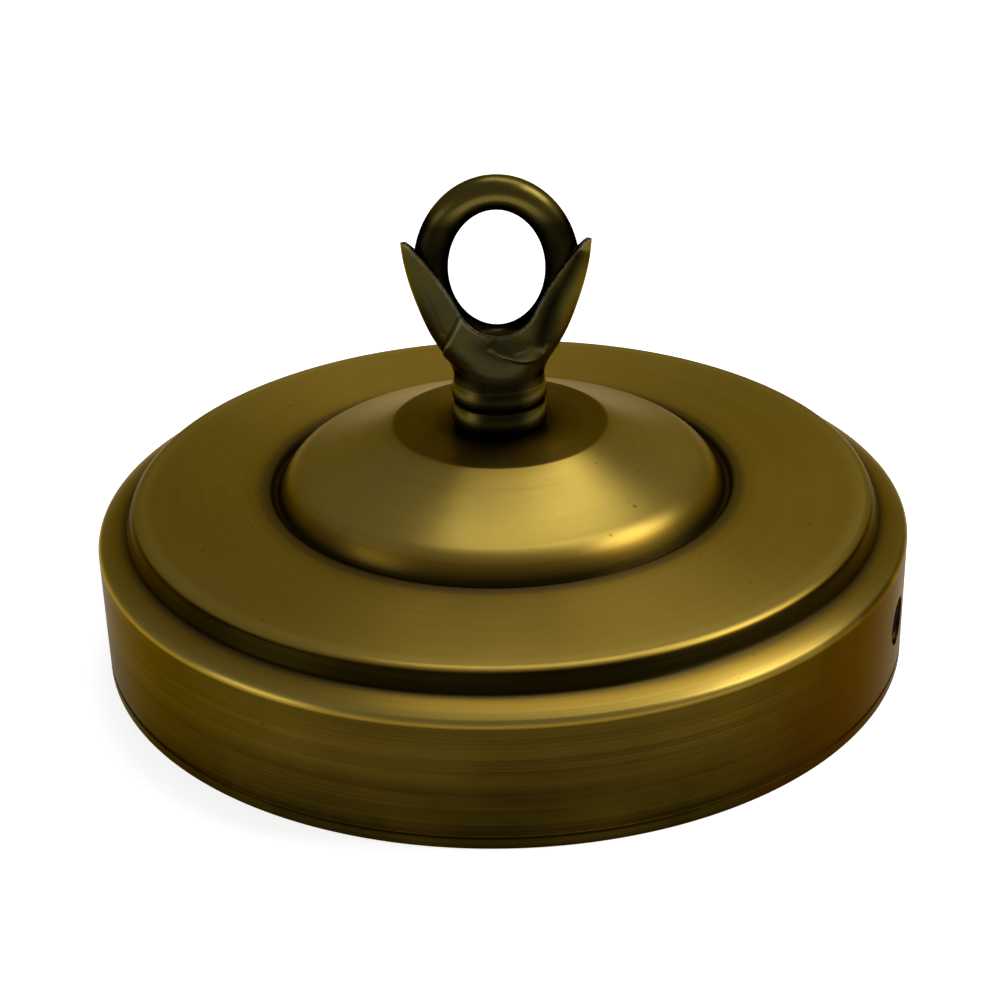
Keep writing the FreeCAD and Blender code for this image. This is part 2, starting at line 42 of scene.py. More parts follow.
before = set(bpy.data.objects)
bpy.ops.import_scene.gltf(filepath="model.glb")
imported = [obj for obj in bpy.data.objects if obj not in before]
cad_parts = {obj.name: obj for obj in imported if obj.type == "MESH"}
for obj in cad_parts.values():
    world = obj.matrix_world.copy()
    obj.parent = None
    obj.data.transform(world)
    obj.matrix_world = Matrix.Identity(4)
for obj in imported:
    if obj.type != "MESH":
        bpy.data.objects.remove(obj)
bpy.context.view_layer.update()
CANOPY_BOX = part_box("canopy")
HOOK_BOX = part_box("ring_hook")
MM = 0.001
TINY = 1e-9
SAME_PLACE = 1e-7
ARC_STEP = math.radians(6)
ROWS_PER_TURN = 10


# Sizes and finishes that a user would change

def length(name, description, default):
    return FloatProperty(name=name, description=description, default=default, unit="LENGTH")


def colour(name, description, default):
    return FloatVectorProperty(name=name, description=description, default=default,
                               subtype="COLOR", size=3, min=0, max=1)


class CanopySizes(bpy.types.PropertyGroup):
    """Section of the pressed canopy"""

    radius: length("Radius", "Outer radius of the skirt", CANOPY_BOX[1].x)
    dome_height: length("Dome height", "Height of the flat seat above the rim", CANOPY_BOX[1].z)
    wall: length("Wall", "Thickness of the sheet", 0.9 * MM)
    ledge_height: length("Ledge height", "Height of the ledge's outer edge above the rim", 17.2 * MM)
    shoulder: length("Shoulder", "Rounding between skirt and ledge", 1.0 * MM)
    bend: length("Inside bend", "Rounding of the tightest inside bends", 0.3 * MM)
    ledge_width: length("Ledge width", "Width of the ledge round the plate", 4.0 * MM)
    ledge_rise: length("Ledge rise", "Rise of the ledge towards the plate", 1.45 * MM)
    ledge_bow: length("Ledge bow", "Radius of the ledge's bowed top", 12.0 * MM)
    plate_foot: length("Plate foot", "Rounding at the foot of the plate", 0.8 * MM)
    plate_rise: length("Plate rise", "Height of the plate above its foot", 2.75 * MM)
    plate_lean: length("Plate lean", "Lean of the plate's wall", 0.8 * MM)
    plate_lip: length("Plate lip", "Rounding of the plate's lip", 1.5 * MM)
    plate_crown: length("Plate crown", "Rise of the plate towards the dome", 0.6 * MM)
    groove_radius: length("Groove radius", "Radius of the groove round the dome", 30.2 * MM)
    groove_width: length("Groove width", "Width of that groove", 1.6 * MM)
    groove_depth: length("Groove depth", "Depth of that groove", 0.7 * MM)
    toe_rise: length("Toe rise", "Height of the dome's steep toe", 2.7 * MM)
    toe_lean: length("Toe lean", "Lean of the dome's toe", 1.6 * MM)
    toe_rounding: length("Toe rounding", "Rounding of the dome's toe", 5.0 * MM)
    seat_radius: length("Seat radius", "Radius of the flat seat", 14.4 * MM)
    flank_radius: length("Flank radius", "Radius of the dome's hollow flank", 60.0 * MM)
    hem_height: length("Hem height", "Height of the turned hem", 1.3 * MM)
    hem_line: length("Hem line", "Depth of the line above the hem", 0.25 * MM)
    hole_radius: length("Hole radius", "Radius of the holes in the skirt", 3.25 * MM)
    hole_height: length("Hole height", "Height of those holes above the rim", 8.8 * MM)
    hole_turn: FloatProperty(name="Hole turn", description="Angle of the first hole from the X axis",
                             default=math.radians(-20), subtype="ANGLE")
    centre_hole: length("Centre hole", "Radius of the hole for the nipple", 5.3 * MM)
    turns: IntProperty(name="Segments", description="Segments round the axis", default=320)


class HookSizes(bpy.types.PropertyGroup):
    """Cast ring and its calyx"""

    collar_radius: length("Collar radius", "Radius of the lower bead", 6.35 * MM)
    collar_height: length("Collar height", "Height of the lower bead", 3.5 * MM)
    bead_radius: length("Bead radius", "Radius of the upper bead", 6.3 * MM)
    bead_height: length("Bead height", "Height of the upper bead", 2.8 * MM)
    bead_nick: length("Nick depth", "Depth of the nick between the beads", 0.45 * MM)
    neck_radius: length("Neck radius", "Radius of the neck", 5.95 * MM)
    neck_height: length("Neck height", "Height of the neck above the beads", 1.3 * MM)
    thread_radius: length("Thread radius", "Radius of the threaded hole", 5.0 * MM)
    thread_depth: length("Thread depth", "Depth of the threaded hole", 7.4 * MM)
    calyx_height: length("Calyx height", "Height of the calyx above the neck", 18.8 * MM)
    calyx_width: length("Calyx width", "Half width at the leaf tips", 12.35 * MM)
    calyx_depth: length("Calyx depth", "Half depth at the leaf tips", 4.5 * MM)
    leaf_wall: length("Leaf wall", "Thickness of the leaves", 1.1 * MM)
    valley_height: length("Valley height", "Height of the valley above the neck", 5.2 * MM)
    valley_width: length("Valley width", "Half width of the valley's round foot", 4.8 * MM)
    valley_radius: length("Valley radius", "Rounding of the valley", 5.4 * MM)
    valley_side: length("Valley side", "Radius of the valley's bowed sides", 30.0 * MM)
    valley_tilt: FloatProperty(name="Valley tilt", description="Fall of the valley towards the back",
                               default=math.radians(16), subtype="ANGLE")
    tip_rise: length("Tip rise", "Height of the leaf tips above the valley", 12.1 * MM)
    tip_width: length("Tip width", "Width of the blunt leaf tips", 0.8 * MM)
    bar: length("Bar", "Half thickness of the ring's bar", 2.25 * MM)
    ring_width: length("Ring width", "Half width of the ring along its middle", 8.45 * MM)
    ring_height: length("Ring height", "Half height of the ring along its middle", 10.15 * MM)
    ring_sink: length("Ring sink", "Depth of the ring's foot below the valley", 1.35 * MM)
    grid: length("Grid", "Size of the grid that joins the casting's forms", 0.17 * MM)


class FittingSizes(bpy.types.PropertyGroup):
    """Nipple, washers, nut, strap and set screws"""

    pitch: length("Pitch", "Rise of the nipple's thread in a turn", 1.0 * MM)
    thread_cut: length("Thread depth", "Depth of that thread", 0.5 * MM)
    nipple_wall: length("Nipple wall", "Wall of the hollow nipple", 1.2 * MM)
    bevel: length("Bevel", "Bevel at the nipple's ends", 0.6 * MM)
    passing: length("Passing hole", "Radius of the holes round the nipple", 5.3 * MM)
    tooth: length("Tooth", "Length of the lock washer's teeth", 1.5 * MM)
    teeth: IntProperty(name="Teeth", description="Number of its teeth", default=12)
    blade: length("Blade", "Thickness of the lock washer's sheet", 0.5 * MM)
    strap_width: length("Strap width", "Width of the strap", 16.0 * MM)
    strap_sheet: length("Strap sheet", "Thickness of the strap", 1.6 * MM)
    strap_bend: length("Strap bend", "Outer radius of its bends", 2.4 * MM)
    strap_fit: length("Strap fit", "Clearance between its ends and the skirt", 0.4 * MM)
    slot_spacing: length("Slot spacing", "Distance between the middles of the slots", 51.0 * MM)
    slot_length: length("Slot length", "Overall length of a slot", 20.0 * MM)
    slot_radius: length("Slot radius", "Half width of a slot", 2.4 * MM)
    cable_hole: length("Cable hole", "Radius of the hole in the middle of the strap", 5.5 * MM)
    screw_radius: length("Screw radius", "Radius of the set screws", 2.5 * MM)
    screw_length: length("Screw length", "Length of the set screws", 6.0 * MM)
    screw_pitch: length("Screw pitch", "Rise of their thread in a turn", 0.8 * MM)
    screw_recess: length("Screw recess", "Depth of a screw's end below the skirt", 0.35 * MM)
    driver_slot: length("Driver slot", "Half width of a screw's slot", 0.4 * MM)
    driver_depth: length("Driver depth", "Depth of that slot", 1.3 * MM)


class FinishColours(bpy.types.PropertyGroup):
    """Colours of the metals"""

    rubbed: colour("Rubbed brass", "Brass where it is rubbed brightest", (0.345, 0.244, 0.048))
    brass: colour("Brass", "Antique brass", (0.215, 0.130, 0.0140))
    # Also the colour of the painted shade on the seat and the painted dark reflection down the skirt
    brass_dark: colour("Brass patina", "Darkened brass of grooves and skirt", (0.0125, 0.0084, 0.0009))
    film: colour("Grey film", "Dull film beside the grooves", (0.062, 0.054, 0.032))
    copper: colour("Warm stain", "Reddish stain on the skirt", (0.036, 0.011, 0.0015))
    cast: colour("Cast brass", "Dark cast brass", (0.042, 0.033, 0.008))
    cast_grey: colour("Cast patina", "Greyish patina of the casting", (0.036, 0.031, 0.011))
    # A painted highlight colour for the upper ring, the right side and the collar's beads
    painted_highlight_gold: colour("Cast gold", "Olive gold on the top of the ring", (0.105, 0.080, 0.016))
    # Also the colour of the painted shade inside the calyx, down the ring's legs and round the collar
    cast_soot_and_shade: colour("Cast soot", "Blackened hollows of the casting", (0.002, 0.0016, 0.0006))
    cast_edge: colour("Cast edges", "Rubbed edges of the casting", (0.125, 0.110, 0.055))
    zinc: colour("Zinc", "Plated steel of the strap and fittings", (0.60, 0.60, 0.58))
    black_steel: colour("Black steel", "Blackened steel of the set screws", (0.02, 0.02, 0.02))
    floor: colour("Floor", "Pale floor", (0.93, 0.93, 0.93))


# Mesh helpers

def new_object(name, bm):
    mesh = bpy.data.meshes.new(name)
    bm.to_mesh(mesh)
    bm.free()
    piece = bpy.data.objects.new(name, mesh)
    bpy.context.scene.collection.objects.link(piece)
    return piece


def discard(*objects):
    for item in objects:
        bpy.data.objects.remove(item)


def settle(piece):
    """Applies the piece's modifiers to its mesh."""
    bpy.context.view_layer.update()
    graph = bpy.context.evaluated_depsgraph_get()
    mesh = bpy.data.meshes.new_from_object(piece.evaluated_get(graph))
    piece.modifiers.clear()
    piece.data = mesh
    return piece


def cut(piece, *cutters, operation="DIFFERENCE"):
    for cutter in cutters:
        modifier = piece.modifiers.new("Cut", "BOOLEAN")
        modifier.operation = operation
        modifier.solver = "EXACT"
        modifier.object = cutter
    settle(piece)
    discard(*cutters)


def smooth(piece, angle):
    piece.data.shade_smooth()
    piece.data.set_sharp_from_angle(angle=math.radians(angle))
    return piece


def finish_piece(piece, material, slot, *nodes):
    """Gives a piece its material and its body, and hides the nodes that it stands for. Its slot is not used.
    """
    piece.data.materials.clear()
    piece.data.materials.append(material)
    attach(piece, "root")
    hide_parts(*nodes)


def arc_points(start, finish, radius, count):
    """Points between two corners on an arc. A positive radius bows it to the right of the way."""
    chord = finish - start
    half = chord.length / 2
    right = Vector((chord.y, -chord.x)).normalized()
    reach = math.sqrt(max(radius * radius - half * half, 0))
    centre = (start + finish) / 2 - right * math.copysign(reach, radius)
    first = start - centre
    turn = 2 * math.asin(half / abs(radius)) * math.copysign(1, radius)
    points = []
    for step in range(1, count):
        angle = turn * step / count
        turned = Matrix.Rotation(angle, 2) @ first
        points.append(centre + turned)
    return points


def rounded_section(corners):
    """Points of a closed section with rounded corners.

    A corner is (radius, height, rounding, radius of the bow that leaves it).
    """
    places = [Vector(corner[:2]) for corner in corners]
    count = len(corners)

    def heading(index, at_end):
        chord = places[(index + 1) % count] - places[index]
        bow = corners[index][-1]
        lean = math.asin(chord.length / 2 / bow) if bow else 0
        return Matrix.Rotation(lean if at_end else -lean, 2) @ chord.normalized()

    def bend(start, finish, radius):
        turn = 2 * math.asin(min((finish - start).length / 2 / abs(radius), 1))
        return arc_points(start, finish, radius, max(2, math.ceil(turn / ARC_STEP)))

    starts, ends, points = [], [], []
    for index, (_, _, rounding, _) in enumerate(corners):
        arriving, leaving = heading(index - 1, True), heading(index, False)
        turn = math.atan2(arriving.x * leaving.y - arriving.y * leaving.x, arriving.dot(leaving))
        reach = rounding * math.tan(abs(turn) / 2)
        starts.append(places[index] - arriving * reach)
        ends.append(places[index] + leaving * reach)
        points.append(bend(starts[-1], ends[-1], math.copysign(rounding, turn)) if rounding else [])
    section = []
    for index, (_, _, rounding, bow) in enumerate(corners):
        following = starts[(index + 1) % count]
        section += [starts[index], *points[index]]
        if rounding:
            section.append(ends[index])
        if bow:
            section += bend(ends[index], following, bow)
    return section


def shift_mesh(bm, *way):
    bmesh.ops.translate(bm, verts=bm.verts, vec=way)


def turn_mesh(bm, angle, axis):
    bmesh.ops.rotate(bm, verts=bm.verts, matrix=Matrix.Rotation(angle, 3, axis))


def spun(section, steps):
    """Turns a closed section of (radius, height) points about the upright axis."""
    bm = bmesh.new()
    verts = [bm.verts.new((point[0], 0, point[1])) for point in section]
    edges = [bm.edges.new((verts[i - 1], verts[i])) for i in range(len(verts))]
    bmesh.ops.spin(bm, geom=verts + edges, cent=(0, 0, 0), axis=(0, 0, 1),
                   angle=2 * math.pi, steps=steps, use_merge=True)
    bmesh.ops.remove_doubles(bm, verts=bm.verts, dist=SAME_PLACE)
    bmesh.ops.recalc_face_normals(bm, faces=bm.faces)
    return bm


def of_kind(items, kind):
    return [item for item in items if isinstance(item, kind)]


def extruded(outline, half_depth):
    """Carries an upright outline of (across, height) points from the front to the back."""
    bm = bmesh.new()
    face = bm.faces.new([bm.verts.new((point.x, -half_depth, point.y)) for point in outline])
    grown = bmesh.ops.extrude_face_region(bm, geom=[face])["geom"]
    bmesh.ops.translate(bm, verts=of_kind(grown, bmesh.types.BMVert), vec=(0, 2 * half_depth, 0))
    bmesh.ops.recalc_face_normals(bm, faces=bm.faces)
    return bm


def cylinder(name, radius, low, high, line=None, segments=64):
    """A cylinder along Z from low to high, or along a level line with a given angle and height."""
    bm = bmesh.new()
    bmesh.ops.create_cone(bm, cap_ends=True, segments=segments, radius1=radius, radius2=radius,
                          depth=high - low)
    shift_mesh(bm, 0, 0, (low + high) / 2)
    if line is not None:
        angle, height = line
        turn_mesh(bm, math.pi / 2, "Y")
        turn_mesh(bm, angle, "Z")
        shift_mesh(bm, 0, 0, height)
    return new_object(name, bm)


def thread_side(radius, low, span, pitch):
    """Points up the side of a rod, close enough together to carry a thread."""
    rows = round(span / pitch * ROWS_PER_TURN)
    return [(radius, low + span * row / rows) for row in range(rows + 1)]


def threaded(bm, radius, low, pitch, depth):
    """Cuts a helical thread with flat crests and roots into the round side of a turned mesh."""
    slope, crest, skin = 1.35, 0.15, 0.05 * MM
    for vert in bm.verts:
        across, along, up = vert.co
        reach = math.hypot(across, along)
        if reach > radius - skin:
            phase = ((up - low) / pitch - math.atan2(along, across) / (2 * math.pi)) % 1
            share = min(max(abs(2 * phase - 1) * slope - crest, 0), 1)
            vert.co.xy *= 1 - depth * share / reach


def rounded_edges(piece, width, angle=30):
    """Bevels the piece's sharp edges."""
    bevel = piece.modifiers.new("Bevel", "BEVEL")
    bevel.limit_method = "ANGLE"
    bevel.angle_limit = math.radians(angle)
    bevel.width = width
    bevel.segments = 2
    return settle(piece)


# Arrays over the vertices of a dense mesh

def smoothstep(values, low, high):
    share = np.clip((values - low) / (high - low), 0, 1)
    return share * share * (3 - 2 * share)


class Skin:
    """Places, normals and neighbours of a dense mesh's vertices."""

    def __init__(self, mesh):
        self.mesh = mesh
        self.places = self.read(mesh.vertices, "co", 3, np.float32)
        self.normals = self.read(mesh.vertices, "normal", 3, np.float32)
        ends = self.read(mesh.edges, "vertices", 2, np.int32)
        self.ways = np.concatenate((ends, ends[:, ::-1]))
        self.degree = np.bincount(self.ways[:, 0], minlength=len(self.places))[:, None]

    @staticmethod
    def read(items, name, width, kind):
        flat = np.empty(len(items) * width, dtype=kind)
        items.foreach_get(name, flat)
        return flat.reshape(-1, width)

    def averaged(self, values, rounds):
        """Values blurred over neighbouring vertices."""
        values = values.reshape(len(self.places), -1).astype(float)
        for _ in range(rounds):
            total = np.stack([
                np.bincount(self.ways[:, 0], weights=values[self.ways[:, 1], column], minlength=len(values))
                for column in range(values.shape[1])
            ], axis=1)
            values = (values + total) / (self.degree + 1)
        return values

    def bulge(self, rounds):
        """How far the surface stands out of its own average, negative in hollows."""
        gap = self.places - self.averaged(self.places, rounds)
        return (gap * self.normals).sum(axis=1)

    def move(self, distance):
        self.places = self.places + self.normals * distance[:, None]
        self.mesh.vertices.foreach_set("co", self.places.astype(np.float32).ravel())
        self.mesh.update()
        self.normals = self.read(self.mesh.vertices, "normal", 3, np.float32)

    def store(self, name, values):
        attribute = self.mesh.attributes.new(name, "FLOAT", "POINT")
        attribute.data.foreach_set("value", values.astype(np.float32))


def along_line(across, up, line):
    """Where points lie along a line of corners.

    Gives their distance from it, their side of it (positive on the left) and a level that falls
    to 0 at its ends.
    """
    corners = np.array(line) * MM
    steps = np.diff(corners, axis=0)
    lengths = np.hypot(steps[:, 0], steps[:, 1])
    starts = np.concatenate(((0,), np.cumsum(lengths)[:-1]))
    nearest = np.full(across.shape, np.inf)
    side = np.zeros(across.shape)
    passed = np.zeros(across.shape)
    for corner, step, size, start in zip(corners, steps, lengths, starts):
        right, rise = across - corner[0], up - corner[1]
        share = np.clip((right * step[0] + rise * step[1]) / size ** 2, 0, 1)
        gap = np.hypot(right - share * step[0], rise - share * step[1])
        closer = gap < nearest
        nearest = np.where(closer, gap, nearest)
        side = np.where(closer, np.sign(step[0] * rise - step[1] * right), side)
        passed = np.where(closer, start + share * size, passed)
    whole = lengths.sum()
    level = smoothstep(np.minimum(passed, whole - passed), 0, 0.6 * MM)
    return nearest, side, level


# Node helpers

class Nodes:
    """Builds one material's nodes."""

    def __init__(self, name):
        self.material = bpy.data.materials.new(name)
        self.material.use_nodes = True
        self.tree = self.material.node_tree
        self.tree.nodes.clear()
        self.output = self.add("ShaderNodeOutputMaterial")

    def add(self, kind, *feeds, **settings):
        """A node with its settings. The feeds are values or outputs for its first sockets."""
        node = self.tree.nodes.new(kind)
        for key, value in settings.items():
            setattr(node, key, value)
        for socket, feed in zip(node.inputs, feeds):
            self.put(socket, feed)
        return node

    def link(self, source, target):
        self.tree.links.new(source, target)

    def put(self, socket, value):
        if isinstance(value, bpy.types.NodeSocket):
            self.link(value, socket)
        else:
            socket.default_value = value

    def put_colour(self, socket, value):
        self.put(socket, value if isinstance(value, bpy.types.NodeSocket) else (*value, 1))

    def math(self, operation, *values, clamp=False):
        return self.add("ShaderNodeMath", *values, operation=operation, use_clamp=clamp).outputs[0]

    def times(self, first, second, clamp=False):
        return self.math("MULTIPLY", first, second, clamp=clamp)

    def larger(self, first, second):
        return self.math("MAXIMUM", first, second)

    def either(self, first, second, share):
        """The first value where the share is 0, the second where it is 1."""
        kept = self.times(first, self.math("SUBTRACT", 1.0, share))
        return self.math("ADD", kept, self.times(second, share))

    def swayed(self, value, noise, share, clamp=False):
        """A value that a noise moves up and down by up to half of the share."""
        return self.math("MULTIPLY_ADD", self.math("SUBTRACT", noise, 0.5), share, value, clamp=clamp)

    def between(self, value, low, high, out_low=0.0, out_high=1.0, smoothly=True):
        kind = "SMOOTHSTEP" if smoothly else "LINEAR"
        return self.add("ShaderNodeMapRange", value, low, high, out_low, out_high,
                        interpolation_type=kind).outputs[0]

    def noise(self, vector, scale, detail=2.0, roughness=0.5):
        node = self.add("ShaderNodeTexNoise", vector)
        node.inputs["Scale"].default_value = scale
        node.inputs["Detail"].default_value = detail
        node.inputs["Roughness"].default_value = roughness
        return node.outputs[0]

    def mix(self, factor, first, second):
        """A mix of two colours, which are sockets 6 and 7 of the node."""
        node = self.add("ShaderNodeMix", factor, data_type="RGBA")
        self.put_colour(node.inputs[6], first)
        self.put_colour(node.inputs[7], second)
        return node.outputs[2]

    def ramp(self, value, stops):
        """A curve of a value over stops given as (place, level)."""
        node = self.add("ShaderNodeFloatCurve")
        curve = node.mapping.curves[0]
        for index, (place, level) in enumerate(stops):
            if index < 2:
                curve.points[index].location = (place, level)
            else:
                curve.points.new(place, level)
        for point in curve.points:
            point.handle_type = "AUTO_CLAMPED"
        node.mapping.update()
        self.put(node.inputs["Value"], value)
        return node.outputs[0]

    def coordinates(self):
        return self.add("ShaderNodeTexCoord").outputs["Object"]

    def split(self, vector):
        return self.add("ShaderNodeSeparateXYZ", vector).outputs

    def attribute(self, name):
        return self.add("ShaderNodeAttribute", attribute_name=name).outputs["Fac"]

    def bump(self, height, strength, distance):
        node = self.add("ShaderNodeBump")
        node.inputs["Strength"].default_value = strength
        node.inputs["Distance"].default_value = distance
        self.link(height, node.inputs["Height"])
        return node.outputs[0]

    def metal(self, colour, roughness, normal, tint=(1, 1, 1)):
        shader = self.add("ShaderNodeBsdfPrincipled")
        shader.inputs["Metallic"].default_value = 1.0
        self.put_colour(shader.inputs["Base Color"], colour)
        self.put_colour(shader.inputs["Specular Tint"], tint)
        self.put(shader.inputs["Roughness"], roughness)
        self.link(normal, shader.inputs["Normal"])
        self.link(shader.outputs[0], self.output.inputs["Surface"])
        return shader


def brushed_brass(sizes, colours):
    """Antique brass sheet with a fine brushing round the axis, patina in the grooves, painted shade on the
    seat and a painted dark reflection down the skirt.
    """
    nodes = Nodes("brushed_brass")
    vector = nodes.coordinates()
    across, along, height = nodes.split(vector)
    radius = nodes.math("SQRT", nodes.math("ADD", nodes.times(across, across), nodes.times(along, along)))
    angle = nodes.math("ARCTAN2", along, across)
    scaled_radius = nodes.times(radius, 1 / sizes.radius)

    def rows(density, drift):
        """Places for a noise that changes quickly with radius and height and slowly with the angle."""
        return nodes.add("ShaderNodeCombineXYZ", nodes.times(radius, density), nodes.times(height, density),
                         nodes.times(angle, drift)).outputs[0]

    brushing = nodes.noise(rows(density=5200, drift=0.6), scale=1.0, detail=3.0, roughness=0.6)
    banding = nodes.noise(rows(density=700, drift=0.9), scale=1.0)
    clouds = nodes.noise(vector, scale=60.0, detail=3.0, roughness=0.55)

    # On the upper faces, by radius: patina in the grooves and at the foot of the plate, fading across the
    # ledge, with painted shade and a painted reflection of the dark collar over the seat
    above = nodes.ramp(scaled_radius, [
        (0.0, 1.0), (0.118, 1.0), (0.135, 0.94), (0.17, 0.80), (0.22, 0.70), (0.258, 0.66), (0.272, 0.16),
        (0.40, 0.04), (0.49, 0.10), (0.525, 0.42), (0.542, 0.80), (0.556, 0.97), (0.572, 0.80), (0.59, 0.46),
        (0.64, 0.28), (0.76, 0.25), (0.86, 0.21), (0.885, 0.08), (0.902, 0.14), (0.909, 0.90), (0.913, 1.0),
        (0.927, 1.0), (0.933, 0.66), (0.944, 0.44), (0.960, 0.34), (0.976, 0.22), (0.99, 0.16), (1.0, 0.32),
    ])
    # Down the skirt, by height: a painted dark reflection, deepening to painted shade towards the rim
    down = nodes.ramp(nodes.times(height, 1 / sizes.ledge_height), [
        (0.0, 1.0), (0.05, 0.985), (0.2, 0.95), (0.5, 0.90), (0.88, 0.86), (0.945, 0.87), (0.965, 0.55),
        (1.0, 0.04),
    ])
    # Grey film beside the grooves
    dull = nodes.ramp(scaled_radius, [
        (0.0, 0.0), (0.20, 0.0), (0.25, 0.30), (0.285, 0.0), (0.52, 0.0), (0.548, 0.45), (0.578, 0.75),
        (0.61, 0.10), (0.66, 0.0), (0.905, 0.0), (0.926, 0.75), (0.940, 0.60), (0.962, 0.0), (1.0, 0.0),
    ])
    on_skirt = nodes.between(scaled_radius, 0.985, 0.997)
    mottled = nodes.swayed(nodes.either(above, down, on_skirt), clouds, 0.16)
    streaked = nodes.swayed(mottled, banding, 0.14)
    outside = nodes.swayed(streaked, brushing, 0.16, clamp=True)
    underside = nodes.between(clouds, 0.3, 0.7, 0.40, 0.72)
    patina = nodes.either(outside, underside, nodes.attribute("inside"))
    worn = nodes.mix(nodes.between(patina, 0.0, 0.42, smoothly=False), colours.rubbed, colours.brass)
    filmed = nodes.mix(nodes.times(dull, 0.8), worn, colours.film)
    # Dark brass for the patina, and for the painted shade and painted dark reflection on the seat and the
    # skirt
    dark = nodes.mix(nodes.between(patina, 0.38, 1.0, smoothly=False), filmed, colours.brass_dark)

    # A reddish stain by the first hole, and a few dark specks
    stain_turn, stain_reach, stain_core = sizes.hole_turn - 0.12, 0.75, 0.1
    turn_off = nodes.math("ABSOLUTE", nodes.math("SUBTRACT", angle, stain_turn))
    stain = nodes.times(nodes.between(turn_off, stain_reach, stain_core), nodes.times(on_skirt, 0.85))
    patchy = nodes.times(stain, nodes.between(clouds, 0.3, 0.6, 0.5, 1.0))
    stained = nodes.mix(patchy, dark, colours.copper)
    specks = nodes.between(nodes.noise(vector, scale=750.0, detail=1.0), 0.775, 0.80)
    colour_out = nodes.mix(nodes.times(specks, 0.45), stained, colours.brass_dark)

    roughness = nodes.math("MULTIPLY_ADD", brushing, 0.08, nodes.math("MULTIPLY_ADD", patina, 0.08, 0.30))
    fine_bump = nodes.bump(brushing, strength=0.25, distance=0.03 * MM)
    shader = nodes.metal(colour_out, roughness, fine_bump, tint=(0.66, 0.56, 0.40))
    shader.inputs["Anisotropic"].default_value = 0.70
    shader.inputs["Anisotropic Rotation"].default_value = 0.25
    tangent = nodes.add("ShaderNodeTangent", direction_type="RADIAL", axis="Z")
    nodes.link(tangent.outputs[0], shader.inputs["Tangent"])
    return nodes.material


def cast_brass(colours):
    """Dark cast brass, rubbed lighter on its edges, with patina and painted shade in its hollows, more
    painted shade and painted highlights laid over it.
    """
    nodes = Nodes("cast_brass")
    vector = nodes.coordinates()
    across, _, height = nodes.split(vector)
    grain = nodes.noise(vector, scale=2600.0, detail=3.0, roughness=0.6)
    clouds = nodes.noise(vector, scale=240.0, detail=4.0, roughness=0.6)
    patches = nodes.noise(vector, scale=520.0, detail=3.0)
    soot = nodes.attribute("soot")
    rubbed = nodes.times(nodes.attribute("wear"), nodes.between(patches, 0.30, 0.62, 0.35, 1.0), clamp=True)
    # Near black where the stored mask is full: patina in the hollows, painted shade inside the calyx, down
    # the ring's legs and round the collar, and a painted dark reflection on the collar's middle
    darkened = nodes.times(soot, nodes.between(clouds, 0.2, 0.6, 1.0, 0.94), clamp=True)
    stained = nodes.mix(nodes.between(clouds, 0.38, 0.62), colours.cast, colours.cast_grey)
    # Painted highlights in olive gold: on the upper ring and the leaf tips, down the right side, and on the
    # collar's beads
    top = nodes.between(height, 53.5 * MM, 57.5 * MM)
    right_side = nodes.times(nodes.between(across, 6.8 * MM, 8.8 * MM), 0.8)
    collar = nodes.times(nodes.between(height, 37.5 * MM, 35.5 * MM), 0.7)
    painted_highlight = nodes.larger(nodes.larger(top, right_side), collar)
    highlighted = nodes.mix(painted_highlight, stained, colours.painted_highlight_gold)
    bright = nodes.mix(rubbed, highlighted, colours.cast_edge)
    colour_out = nodes.mix(darkened, bright, colours.cast_soot_and_shade)
    roughness = nodes.math("MULTIPLY_ADD", grain, 0.16, nodes.math("MULTIPLY_ADD", soot, 0.10, 0.22))
    # The specular tint fades to black under the same mask, so the painted shade also dims reflections at a
    # slant
    tint = nodes.mix(soot, (0.60, 0.52, 0.36), (0.0, 0.0, 0.0))
    nodes.metal(colour_out, roughness, nodes.bump(grain, strength=0.35, distance=0.04 * MM), tint)
    return nodes.material


def plated_steel(colours):
    nodes = Nodes("plated_steel")
    vector = nodes.coordinates()
    grain = nodes.noise(vector, scale=1500.0, detail=3.0)
    clouds = nodes.noise(vector, scale=120.0, detail=4.0)
    colour_out = nodes.mix(clouds, colours.zinc, [0.7 * level for level in colours.zinc])
    roughness = nodes.math("MULTIPLY_ADD", grain, 0.25, 0.25)
    nodes.metal(colour_out, roughness, nodes.bump(grain, strength=0.2, distance=0.04 * MM))
    return nodes.material


def black_steel(colours):
    nodes = Nodes("blackened_steel")
    grain = nodes.noise(nodes.coordinates(), scale=2200.0, detail=3.0)
    colour_out = nodes.mix(grain, colours.black_steel, [1.8 * level for level in colours.black_steel])
    roughness = nodes.math("MULTIPLY_ADD", grain, 0.2, 0.4)
    fine_bump = nodes.bump(grain, strength=0.2, distance=0.03 * MM)
    nodes.metal(colour_out, roughness, fine_bump, tint=(0.05, 0.05, 0.05))
    return nodes.material


# Operators

